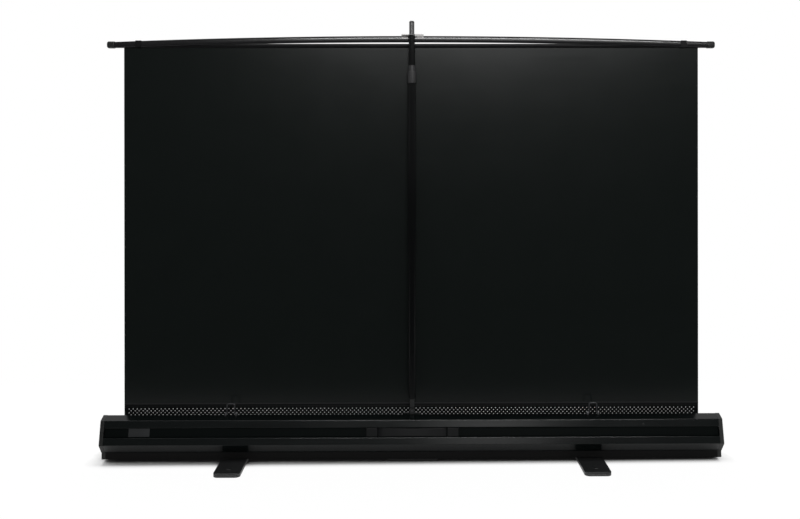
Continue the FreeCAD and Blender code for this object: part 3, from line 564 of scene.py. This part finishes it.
def rounded_outline(corners: Array, radius: float, steps: int = 5) -> Array:
    """An outline with each corner replaced by a parabola that starts and ends a radius away from it.

    A point of the parabola is (1-s)^2 A + 2 s (1-s) P + s^2 C, with A and C on the two sides of corner P.
    A further point on each side, just past the round, keeps the flat beyond it flat when it is shaded.

    Args:
        corners: The outline's corners, two numbers each.
        radius: How far from its corner a round starts; at most 0.4 of the side.
        steps: Points of each round.

    Returns:
        The points of the rounded outline, two numbers each.
    """
    most_of_side, past_round = 0.4, 0.1
    back = np.roll(corners, 1, axis=0) - corners
    ahead = np.roll(corners, -1, axis=0) - corners
    back_length = np.linalg.norm(back, axis=1, keepdims=True)
    ahead_length = np.linalg.norm(ahead, axis=1, keepdims=True)
    reach = np.minimum(radius, most_of_side * np.minimum(back_length, ahead_length))
    start = corners + back / back_length * reach
    end = corners + ahead / ahead_length * reach
    share = np.linspace(0.0, 1.0, steps)[None, :, None]
    curve = ((1 - share) ** 2 * start[:, None] + 2 * share * (1 - share) * corners[:, None]
             + share ** 2 * end[:, None])
    before = start + back / back_length * past_round * reach
    after = end + ahead / ahead_length * past_round * reach
    return np.concatenate([before[:, None], curve, after[:, None]], axis=1).reshape(-1, 2)


def circle_angles(count: int) -> Array:
    """Even angles once round, from nought."""
    return np.linspace(0.0, FULL_TURN, count, endpoint=False)


def points_of(*axes: Array | float) -> Array:
    """Points from their coordinates along each axis, spread over one another."""
    return np.stack(np.broadcast_arrays(*axes), axis=-1)


def unit_circle(angle: Array) -> Array:
    """Points of a circle of radius one at angles."""
    return points_of(np.cos(angle), np.sin(angle))


def along_x(outline: Array, stations: Array) -> Array:
    """A section of Y and Z carried along X: points as stations by section points by three."""
    return points_of(stations[:, None], *outline.T)


def superellipse(count: int, power: float, half_width: float, half_height: float) -> Array:
    """Points of the closed curve |u/a|^n + |v/b|^n = 1, at even steps of its angle.

    Args:
        count: Number of points.
        power: The power n: 2 is an ellipse, more is boxier.
        half_width: The half width a.
        half_height: The half height b.

    Returns:
        The points, two numbers each.
    """
    turn = unit_circle(circle_angles(count))
    return np.sign(turn) * np.abs(turn) ** (2 / power) * np.array([half_width, half_height])


@dataclass
class Case:
    """The case's shells and rail, with the rounds that an extrusion has, in metres."""

    wall: float = 2.5 * MM
    slot_half: float = 28.0 * MM
    shoulder_half: float = 60.0 * MM
    shoulder_drop: float = 10.0 * MM
    bulge_half: float = 80.0 * MM
    bulge_height: float = 65.5 * MM
    sill_half: float = 52.0 * MM
    flange_inner: float = 36.0 * MM
    lip_drop: float = 24.0 * MM
    channel_drop: float = 22.0 * MM
    channel_width: float = 29.0 * MM
    channel_depth: float = 12.0 * MM
    edge: float = 1.4 * MM
    stations: int = 9

    def __post_init__(self) -> None:
        """Read the heights from the frame."""
        low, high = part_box("rear_shell")
        self.sill, self.lip = low.z, high.z
        self.front_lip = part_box("front_shell")[1].z
        self.half = high.x
        self.shoulder = self.lip - self.shoulder_drop
        self.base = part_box("base_rail")[0].z
        self.rail_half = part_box("base_rail")[1].y
        self.lean = (self.bulge_half - self.shoulder_half) / (self.shoulder - self.bulge_height)
        self.channel_top = self.shoulder - self.channel_drop
        self.channel_foot = self.channel_top - self.channel_width

    def face(self, height: float | Array) -> float | Array:
        """The leaning face's distance from the middle plane at a height."""
        return self.shoulder_half + self.lean * (self.shoulder - height)

    def shell_outline(self, channel: bool) -> Array:
        """Corners of one shell's section, as distance from the middle plane and height.

        Args:
            channel: Whether the face has the handle's channel.

        Returns:
            The corners: down the outside, along the foot flange, and up the inside to the lip.
        """
        wall, slot, sill = self.wall, self.slot_half, self.sill
        crest = self.lip if channel else self.front_lip
        shoulder = crest - self.shoulder_drop
        outside = [(slot, crest), (self.shoulder_half, shoulder)]
        inside = []
        if channel:
            top, foot = self.channel_top, self.channel_foot
            deep_top, deep_foot = (self.face(height) - self.channel_depth for height in (top, foot))
            outside += [(self.face(top), top), (deep_top, top), (deep_foot, foot), (self.face(foot), foot)]
            inside = [(self.face(foot - wall) - wall, foot - wall), (deep_foot - wall, foot - wall),
                      (deep_top - wall, top + wall), (self.face(top + wall) - wall, top + wall)]
        outside += [(self.bulge_half, self.bulge_height), (self.sill_half, sill),
                    (self.flange_inner, sill), (self.flange_inner, sill + wall),
                    (self.sill_half - wall / 2, sill + wall), (self.bulge_half - wall, self.bulge_height)]
        lip = [(self.shoulder_half - wall, shoulder - wall), (slot + wall, crest - wall),
               (slot + wall, crest - self.lip_drop), (slot, crest - self.lip_drop)]
        return np.array(outside + inside + lip)

    def rail_outline(self) -> Array:
        """Corners of the base rail's section: a trough with its two flanges turned in.

        Returns:
            The corners, two numbers each.
        """
        half, wall, inner = self.rail_half, self.wall, self.flange_inner
        right = [(half, self.base), (half, self.sill), (inner, self.sill), (inner, self.sill - wall),
                 (half - wall, self.sill - wall), (half - wall, self.base + wall)]
        left = [(-across, up) for across, up in right[::-1]]
        return np.array(right + left)

    def matt_and_shade_channel(self, piece: Piece) -> None:
        """Give the faces inside the handle's channel a matt finish whose darker colour is painted shade of
        the recess.

        Args:
            piece: The rear shell.
        """
        mesh = piece.data
        centres = np.empty(3 * len(mesh.polygons))
        mesh.polygons.foreach_get("center", centres)
        _, across, up = centres.reshape(-1, 3).T
        depth = self.face(up) + across
        inside = (depth > self.edge) & (depth < self.channel_depth + self.wall / 2)
        inside &= (up > self.channel_foot - self.edge) & (up < self.channel_top + self.edge)
        # The recess takes the channel finish: matt, and darker as painted shade.
        mesh.materials.append(CHANNEL_MATT_SHADE.material())
        mesh.polygons.foreach_set("material_index", inside.astype(np.int32))

    def build(self) -> None:
        """Make the two shells and the rail in place of their plain nodes."""
        stations = np.linspace(-self.half, self.half, self.stations)
        to_the_back = np.array([-1.0, 1.0])
        outlines = {"rear_shell": self.shell_outline(True) * to_the_back,
                    "front_shell": self.shell_outline(False), "base_rail": self.rail_outline()}
        for node, outline in outlines.items():
            sections = along_x(rounded_outline(outline, self.edge), stations)
            piece = carried(f"{node}_skin", sections, RAIL_MATT if node == "base_rail" else LACQUER)
            if node == "rear_shell":
                self.matt_and_shade_channel(piece)
            stand_in(piece, "case", "case_black", node)


@dataclass
class Handle:
    """The pull-out grip and its end blocks, lying in the channel, in metres."""

    inset: float = 0.5 * MM
    block_depth: float = 11.5 * MM
    grip_depth: float = 7.0 * MM
    round: float = 2.6 * MM
    waist: float = 1.2 * MM
    gap: float = 1.0 * MM
    end_taper: float = 0.22
    round_points: int = 7
    end_points: int = 6
    stations: int = 12

    def bar(self, low: Vector, high: Vector, case: Case, depth: float, waist: float,
            span: Span) -> Array:
        """A rounded bar that lies along the leaning face.

        Args:
            low: Low corner of the node's box.
            high: High corner of the node's box.
            case: The case, for its leaning face.
            depth: The bar's thickness across the channel.
            waist: How much lower the bar is at its middle than at its ends, on each edge.
            span: Its two ends along X.

        Returns:
            Points as stations by section points by three; each end shrinks over the bar's round.
        """
        near_low, near_high = (self.inset - case.face(height) for height in (low.z, high.z))
        corners = np.array([(near_low, low.z), (near_high, high.z), (near_high + depth, high.z),
                            (near_low + depth, low.z)])
        outline = rounded_outline(corners, self.round, self.round_points)
        middle = corners.mean(axis=0)
        start, stop = span
        ends = self.round * (1.0 - np.cos(np.linspace(0.0, math.pi / 2, self.end_points)))
        stations = np.concatenate([start + ends, np.linspace(start, stop, self.stations)[1:-1],
                                   (stop - ends)[::-1]])
        inward = np.minimum(stations - start, stop - stations)
        shrink = 1.0 - self.end_taper * np.clip(1.0 - inward / self.round, 0.0, 1.0)
        along = (stations - start) / (stop - start)
        slim = 1.0 - 2.0 * waist / (high.z - low.z) * np.sin(math.pi * along) ** 2
        sections = along_x(outline, stations)
        sections[:, :, 1:] = middle + (sections[:, :, 1:] - middle) * shrink[:, None, None]
        sections[:, :, 2] = middle[1] + (sections[:, :, 2] - middle[1]) * slim[:, None]
        return sections

    def build(self, case: Case) -> None:
        """Make the grip and the blocks.

        Args:
            case: The case that they lie in.
        """
        low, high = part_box("handle_grip")
        grip = self.bar(low, high, case, self.grip_depth, self.waist, (low.x, high.x))
        stand_in(carried("handle_grip_soft", grip, GRIP_PLASTIC), "handle", "handle_black", "handle_grip")
        block_low, block_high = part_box("handle_blocks")
        spans = {"left": (block_low.x, low.x - self.gap), "right": (high.x + self.gap, block_high.x)}
        for side, span in spans.items():
            block = self.bar(block_low, block_high, case, self.block_depth, 0.0, span)
            piece = carried(f"handle_block_{side}", block, GRIP_PLASTIC)
            stand_in(piece, "case", "handle_black", "handle_blocks")


@dataclass
class Pole:
    """The telescopic pole's tubes with their long grooves, and the ribbed lock nut, in metres."""

    lower_wall: float = 1.2 * MM
    sleeve_wall: float = 1.0 * MM
    outer_grooves: int = 10
    top_grooves: int = 8
    groove_depth: float = 0.7 * MM
    groove_width: float = 1.6 * MM
    edge: float = 0.5 * MM
    points: int = 240
    ribs: int = 40
    rib_depth: float = 0.2 * MM
    seam_depth: float = 0.9 * MM
    seam_width: float = 0.06
    nut_collar: float = 2.2 * MM
    nut_edge: float = 0.8 * MM
    nut_clearance: float = 0.1 * MM

    def __post_init__(self) -> None:
        """Work out the angles of the points round a tube."""
        self.angle = circle_angles(self.points)

    def turned(self, name: str, node: str, rings: list, finish: Finish) -> Piece:
        """A hollow round piece about a node's upright axis: rings that run out, over, in and back.

        Args:
            name: The piece's name.
            node: The node that it stands for.
            rings: Each ring's radius, or its radius at each angle, and its height.
            finish: The piece's finish.

        Returns:
            The object.
        """
        low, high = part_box(node)
        middle = (low + high) / 2
        points = np.stack([points_of(middle.x + reach * np.cos(self.angle),
                                     middle.y + reach * np.sin(self.angle), height)
                           for reach, height in rings])
        faces = quad_grid(len(rings), self.points, True, True).tolist()
        return make_piece(name, points, turned_outwards(points, faces), [finish])

    def tube(self, node: str, body: str, bore: float, grooves: int) -> None:
        """Replace one tube: a circle with notches at even angles, carried up its axis.

        The radius at an angle is R - d exp(-(a R/w)^2), with a the angle to the nearest groove. A ridge
        between two grooves looks straight back.

        Args:
            node: The tube's node.
            body: The body that it rides on.
            bore: The tube's inner radius.
            grooves: Number of grooves round the tube.
        """
        low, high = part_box(node)
        radius = (high.x - low.x) / 2
        pitch = FULL_TURN / grooves
        nearest = (self.angle - STRAIGHT_BACK) % pitch - pitch / 2
        outer = radius - self.groove_depth * np.exp(-(nearest * radius / self.groove_width) ** 2)
        edge = self.edge
        rings = [(outer - edge, low.z), (outer, low.z + edge), (outer, high.z - edge),
                 (outer - edge, high.z), (bore, high.z), (bore, low.z)]
        stand_in(self.turned(f"{node}_grooved", node, rings, ANODISED), body, "pole_black", node)

    def nut(self, bore: float) -> None:
        """Replace the lock nut: a finely ribbed ring, drawn in at both ends, with a seam at its back.

        Its radius at angle a is R - d (1 + cos(n a)) / 2 - s exp(-((a - 3/2 pi)/w)^2).

        Args:
            bore: The nut's inner radius.
        """
        low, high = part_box("lock_nut")
        radius = (high.x - low.x) / 2
        seam = self.seam_depth * np.exp(-((self.angle - STRAIGHT_BACK) / self.seam_width) ** 2)
        ribbed = radius - self.rib_depth * (1 + np.cos(self.ribs * self.angle)) / 2 - seam
        plain = radius - self.rib_depth - seam
        collar, edge = self.nut_collar, self.nut_edge
        rings = [(plain - edge, low.z), (plain, low.z + edge), (plain, low.z + collar),
                 (ribbed, low.z + collar + edge), (ribbed, high.z - collar - edge),
                 (plain, high.z - collar), (plain, high.z - edge), (plain - edge, high.z), (bore, high.z),
                 (bore, low.z)]
        piece = self.turned("lock_nut_ribbed", "lock_nut", rings, LOCK_PLASTIC)
        stand_in(piece, "lock", "lock_black", "lock_nut")

    def build(self) -> None:
        """Make the three tubes and the nut."""
        lower_radius, sleeve_radius, spigot_radius = (
            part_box(node)[1].x for node in ("lower_tube", "sleeve_tube", "spigot"))
        self.tube("lower_tube", "lower_pole", lower_radius - self.lower_wall, self.outer_grooves)
        self.tube("sleeve_tube", "sleeve", sleeve_radius - self.sleeve_wall, self.outer_grooves)
        self.tube("top_tube", "top_pole", spigot_radius, self.top_grooves)
        self.nut(sleeve_radius + self.nut_clearance)


@dataclass
class Feet:
    """The small round boss on top of each foot, in metres; its profile is in shares of its height."""

    radius: float = 9.0 * MM
    height: float = 0.9 * MM
    place_y: float = -142.0 * MM
    points: int = 32
    draws_in: tuple[float, ...] = (0.0, 0.0, 0.4, 1.0)
    rises: tuple[float, ...] = (-0.5, 0.4, 0.85, 1.0)

    def build(self) -> None:
        """Make the bosses: a circle carried up, drawn in over its top edge."""
        reach = self.radius - self.height * np.array(self.draws_in)
        rise = self.height * np.array(self.rises)
        across, along = unit_circle(circle_angles(self.points)).T
        for side in ("left", "right"):
            low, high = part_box(f"foot_{side}")
            sections = points_of((low.x + high.x) / 2 + reach[:, None] * across,
                                 self.place_y + reach[:, None] * along, high.z + rise[:, None])
            stand_in(carried(f"foot_boss_{side}", sections, FOOT_PLASTIC), f"foot_{side}", "foot_black")


@dataclass
class TopBar:
    """The bowed bar with its rounded section, and the bar's rounded end caps, in metres."""

    stations: int = 97
    section_points: int = 48
    bow_height: float = 18.5 * MM
    bow_power: float = 2.6
    bow_swell: float = 2.7 * MM
    cap_power: float = 3.2
    cap_round: float = 6.0 * MM
    cap_round_points: int = 8
    cap_lead: float = 1.0 * MM
    cap_lead_share: float = 0.94

    def bow(self) -> None:
        """Replace the bow: a superellipse carried along the arc through its middle and its two ends.

        Its height at x is h + s (1 - (x/r)^2), all of it below the arc, so it is deepest in its middle.
        """
        low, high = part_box("bow_bar")
        reach = high.x
        rise = high.z - low.z - self.bow_height
        radius = (reach ** 2 + rise ** 2) / (2 * rise)
        along = np.linspace(-reach, reach, self.stations)
        drop = radius - np.sqrt(radius ** 2 - along ** 2)
        across, up = superellipse(self.section_points, self.bow_power, (high.y - low.y) / 2, 0.5).T
        across = across + (low.y + high.y) / 2
        deep = self.bow_height + self.bow_swell * (1 - (along / reach) ** 2)
        level = high.z - drop[:, None] + (up - 0.5) * deep[:, None]
        sections = points_of(along[:, None], across, level)
        stand_in(carried("bow_bar_rounded", sections, BOW_GLOSS), "top_bar", "bar_black", "bow_bar")

    def cap(self, node: str) -> None:
        """Replace an end cap: a superellipse section that closes over its outer end in a quarter round.

        Args:
            node: The cap's node.
        """
        low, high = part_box(node)
        middle, half = (low + high) / 2, (high - low) / 2
        side = math.copysign(1.0, middle.x)
        inner, outer = middle.x - side * half.x, middle.x + side * half.x
        across, up = superellipse(self.section_points, self.cap_power, half.y, half.z).T
        turn = np.linspace(0.0, math.pi / 2, self.cap_round_points)
        stations = np.concatenate([[inner, inner + side * self.cap_lead],
                                   outer - side * self.cap_round * (1 - np.sin(turn))])
        shrink = np.concatenate([[self.cap_lead_share, 1.0],
                                 1.0 - (1 - np.cos(turn)) * self.cap_round / half.z])
        sections = points_of(stations[:, None], middle.y + across * shrink[:, None],
                             middle.z + up * shrink[:, None])
        stand_in(carried(f"{node}_round", sections, CAP_PLASTIC), "top_bar", "cap_black", node)

    def build(self) -> None:
        """Make the bow and the caps."""
        self.bow()
        for side in ("left", "right"):
            self.cap(f"bar_cap_{side}")


@dataclass
class Cloth:
    """The screen cloth, its hem and the perforated leader band, in metres; grids are columns by rows."""

    hole_pitch: float = 12.9 * MM
    row_pitch: float = 6.4 * MM
    hole_radius: float = 1.75 * MM
    first_row: float = 14.2 * MM
    rows: int = 7
    weld: float = 0.01 * MM
    turns: int = 4
    turn_points: int = 72
    turn_fill: float = 0.8
    side_border: float = 50.0 * MM
    low_border: float = 50.0 * MM
    image_ratio: float = 16.0 / 9.0
    sheet_grid: tuple[int, int] = (61, 41)
    strip_grid: tuple[int, int] = (61, 3)

    @staticmethod
    def slab(name: str, low: Vector, high: Vector, surfaces: list[Surface],
             grid: tuple[int, int]) -> Piece:
        """A thin slab of two grids and their rim, in a box.

        Args:
            name: The piece's name.
            low: The box's low corner.
            high: The box's high corner.
            surfaces: The back's surface, and the front's if it has one.
            grid: Points along X and along Z.

        Returns:
            The object, with its back towards -Y.
        """
        columns, rows = grid
        across, up = np.meshgrid(np.linspace(low.x, high.x, columns), np.linspace(low.z, high.z, rows))
        back = points_of(across, low.y, up).reshape(-1, 3)
        front = back + np.array([0.0, high.y - low.y, 0.0])
        quads = quad_grid(rows, columns, False, False)
        count = rows * columns
        number = np.arange(count).reshape(rows, columns)
        rim = np.concatenate([number[0], number[1:, -1], number[-1, -2::-1], number[-2:0:-1, 0]])
        ahead = np.roll(rim, -1)
        walls = np.stack([ahead, rim, rim + count, ahead + count], axis=-1)
        faces = np.concatenate([quads, quads[:, ::-1] + count, walls])
        chosen = np.zeros(len(faces))
        chosen[len(quads):2 * len(quads)] = len(surfaces) - 1
        return make_piece(name, np.concatenate([back, front]), faces.tolist(), surfaces, smooth_angle=0.5,
                          chosen=chosen)

    def band_quads(self, low: Vector, high: Vector) -> Array:
        """The leader band as quads: rows of oblong tiles, each with a round hole, offset by half a tile.

        A tile's eight outer points are its corners and mid-sides, its eight inner points lie on the hole's
        circle, and a quad joins each pair of neighbours. Plain strips fill the ends, the top and the foot.

        Args:
            low: Low corner of the band's box.
            high: High corner of the band's box.

        Returns:
            Quads as an array of four corners of X and Z each.
        """
        half = self.hole_pitch / 2
        steps = int((high.x - self.hole_radius) / half) - 1
        ticks = np.concatenate([[low.x], np.arange(-steps, steps + 1) * half, [high.x]])
        turn = unit_circle(circle_angles(8))
        outer = np.sign(np.round(turn, decimals=6)) * np.array([half, self.row_pitch / 2])
        inner = turn * self.hole_radius
        tile = np.stack([outer, np.roll(outer, -1, axis=0), np.roll(inner, -1, axis=0), inner], axis=1)
        top_row = high.z - self.first_row
        quads = []
        for row in range(self.rows):
            centre_z = top_row - row * self.row_pitch
            first = -steps + 1 + row % 2
            last = steps - 1 - (steps - 1 - first) % 2
            centres = np.arange(first, last + 1, 2) * half
            places = points_of(centres, centre_z)
            quads.append((places[:, None, None, :] + tile[None]).reshape(-1, 4, 2))
            edges = centre_z - self.row_pitch / 2, centre_z + self.row_pitch / 2
            left = ticks[ticks < centres[0] - half / 2]
            right = ticks[ticks > centres[-1] + half / 2]
            quads += [self.strip(left, *edges), self.strip(right, *edges)]
        band_top = top_row + self.row_pitch / 2
        band_low = top_row - (self.rows - 0.5) * self.row_pitch
        quads += [self.strip(ticks, band_top, high.z), self.strip(ticks, low.z, band_low)]
        return np.concatenate(quads)

    @staticmethod
    def strip(ticks: Array, low: float, high: float) -> Array:
        """A row of plain quads between neighbouring ticks along X, from low to high along Z."""
        start, stop = ticks[:-1], ticks[1:]
        return np.stack([points_of(start, low), points_of(stop, low), points_of(stop, high),
                         points_of(start, high)], axis=1)

    def band(self, low: Vector, high: Vector) -> Piece:
        """Make the leader band with its holes, half as thick as its node; a lining lies before it.

        Args:
            low: Low corner of the band's box.
            high: High corner of the band's box.

        Returns:
            The object, with its thickness applied.
        """
        corners = self.band_quads(low, high).reshape(-1, 2)
        rounded = np.round(corners / self.weld).astype(np.int64)
        keys, number = np.unique(rounded, axis=0, return_inverse=True)
        flat = keys * self.weld
        points = points_of(flat[:, 0], low.y + (high.y - low.y) / 4, flat[:, 1])
        piece = make_piece("leader_band_holed", points, number.reshape(-1, 4).tolist(), [BAND_CLOTH])
        wall = piece.modifiers.new("thickness", "SOLIDIFY")
        wall.thickness = (high.y - low.y) / 2
        wall.offset = 0.0
        graph = bpy.context.evaluated_depsgraph_get()
        solid = bpy.data.meshes.new_from_object(piece.evaluated_get(graph))
        piece.modifiers.clear()
        piece.data = solid
        return piece

    def roll(self) -> None:
        """Replace the cloth left on the roller: a strip wound inwards as r = R - p a / (2 pi)."""
        low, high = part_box("cloth_roll")
        middle = (low + high) / 2
        outer = (high.z - low.z) / 2
        pitch = (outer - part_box("roller_tube")[1].y + middle.y) / self.turns
        wound = self.turns - 1
        angle = np.linspace(0.0, FULL_TURN * wound, self.turn_points * wound + 1)
        reach = outer - pitch * angle / FULL_TURN
        turn = unit_circle(angle)
        inside = turn * (reach - self.turn_fill * pitch)[:, None]
        outline = np.concatenate([turn * reach[:, None], inside[::-1]]) + np.array([middle.y, middle.z])
        piece = carried("cloth_roll_wound", along_x(outline, np.array([low.x, high.x])), CLOTH_BACK)
        stand_in(piece, "roller", "cloth_black", "cloth_roll")

    def viewing_side(self, low: Vector, high: Vector) -> ScreenFace:
        """The image area that the borders leave of the cloth between two corners."""
        half, bottom = high.x - self.side_border, low.z + self.low_border
        return ScreenFace("screen_face", half, bottom, bottom + 2 * half / self.image_ratio)

    def build(self, joints: list) -> None:
        """Make the roll, and the cloth sheet, hem, leader band and lining in place of their nodes, each
        riding on the case.

        Args:
            joints: The frame's joints.
        """
        self.roll()
        low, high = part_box("screen_cloth")
        band_low, band_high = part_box("leader_band")
        lining_low = Vector((band_low.x, (band_low.y + band_high.y) / 2, band_low.z))
        face = self.viewing_side(low, high)
        sheet = self.slab("screen_cloth_sheet", low, high, [CLOTH_BACK, face], self.sheet_grid)
        hem = self.slab("cloth_hem_strip", *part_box("cloth_hem"), [HEM_CLOTH], self.strip_grid)
        band = self.band(band_low, band_high)
        lining = self.slab("leader_lining", lining_low, band_high, [LINING, BAND_CLOTH], self.strip_grid)
        limits = next(joint["range_m"] for joint in joints if joint["name"] == "screen_lower")
        keep = 1.0 - max(map(abs, limits)) / (high.z - band_low.z)
        pieces = ((sheet, "screen_cloth", "cloth_black"), (hem, "cloth_hem", "cloth_black"),
                  (band, "leader_band", "band_black"), (lining, "leader_band", "band_black"))
        for piece, node, slot in pieces:
            stand_in(piece, "case", slot, node)
            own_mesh(piece)


@dataclass(frozen=True)
class Lamp:
    """A soft rectangular lamp: its place, the point that it faces, its width and height, and its watts."""

    name: str
    place: Triple
    aim: Triple
    size: Span
    power: float

    def build(self) -> None:
        """Put the lamp into the scene."""
        light = bpy.data.lights.new(self.name, "AREA")
        light.shape = "RECTANGLE"
        light.size, light.size_y = self.size
        light.energy = self.power
        made = bpy.data.objects.new(self.name, light)
        made.location = self.place
        made.rotation_euler = (Vector(self.aim) - Vector(self.place)).to_track_quat("-Z", "Y").to_euler()
        bpy.context.scene.collection.objects.link(made)


@dataclass
class Studio:
    """The pale floor, the soft light and the camera at the photograph's angle."""

    frame_width: int = 800
    frame_height: int = 519
    sensor: float = 36.0
    focal_pixels: float = 968.4
    axis_x_pixel: float = 413.17
    axis_y_pixel: float = 142.8
    place: Triple = (-0.0242, -3.1292, 1.0177)
    pitch: float = 0.023
    yaw: float = -0.52
    roll: float = -0.058
    floor_half: float = 30.0
    glow_least: float = 0.1
    glow_rise: float = 0.8
    glow_beside: Span = (0.5, 0.8)
    glow_behind: Span = (-0.25, 0.25)
    lamps: tuple[Lamp, ...] = (
        Lamp("strip_light", (0.6, -4.6, 2.5), (0.2, 0.0, 1.32), (3.0, 0.3), 172.0),
        Lamp("side_softbox", (1.12, -10.0, 2.75), (0.25, 0.0, 0.1), (1.4, 1.0), 12.0),
        Lamp("top_softbox", (0.0, 0.3, 4.2), (0.0, 0.0, 0.0), (4.0, 2.4), 130.0),
    )

    def camera(self) -> None:
        """Make the camera; the lens is shifted so that its axis meets the picture at the axis pixel."""
        lens = bpy.data.cameras.new("photo_camera")
        lens.sensor_width = self.sensor
        lens.lens = self.focal_pixels / self.frame_width * self.sensor
        lens.shift_x = (self.frame_width / 2 - self.axis_x_pixel) / self.frame_width
        lens.shift_y = (self.axis_y_pixel - self.frame_height / 2) / self.frame_width
        made = bpy.data.objects.new("photo_camera", lens)
        bpy.context.scene.collection.objects.link(made)
        turn = (Matrix.Rotation(math.radians(self.yaw), 4, "Z")
                @ Matrix.Rotation(math.radians(90.0 - self.pitch), 4, "X")
                @ Matrix.Rotation(math.radians(self.roll), 4, "Z"))
        made.matrix_world = Matrix.Translation(Vector(self.place)) @ turn
        bpy.context.scene.camera = made

    def floor(self) -> None:
        """Make the floor, a large square."""
        half = self.floor_half
        corners = np.array([(-half, -half, 0), (half, -half, 0), (half, half, 0), (-half, half, 0)])
        make_piece("floor", corners, [[0, 1, 2, 3]], [FLOOR_PAPER])

    def world(self) -> None:
        """Make the surroundings: bright behind and beside the screen, dim on the camera's side.

        The camera itself sees plain white.
        """
        world = bpy.data.worlds.new("studio")
        bpy.context.scene.world = world
        world.use_nodes = True
        board = Board(world.node_tree)
        across, along, _ = board.axes(board.place("Generated"))
        bright = board.larger(board.ramp(abs(across), *self.glow_beside),
                              board.ramp(along, *self.glow_behind))
        level = self.glow_least + bright * self.glow_rise
        seen = board.wire("LightPath", None, None, "Is Camera Ray")
        strength = level * (1 - seen) + seen
        back = board.wire("Background", None, {"Color": (*WHITE, 1.0), "Strength": strength})
        board.end(back, "OutputWorld")

    def build(self) -> None:
        """Make the camera, the floor, the surroundings and the lamps."""
        self.camera()
        self.floor()
        self.world()
        for lamp in self.lamps:
            lamp.build()
        bpy.context.scene.view_settings.view_transform = "Standard"


def main() -> None:
    """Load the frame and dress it."""
    logging.basicConfig(level=logging.INFO, format="%(name)s: %(message)s")
    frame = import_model()
    dress_nodes(frame["nodes"])
    case = Case()
    case.build()
    Handle().build(case)
    Feet().build()
    Pole().build()
    TopBar().build()
    Cloth().build(frame["joints"])
    Studio().build()


if __name__ == "__main__":
    main()
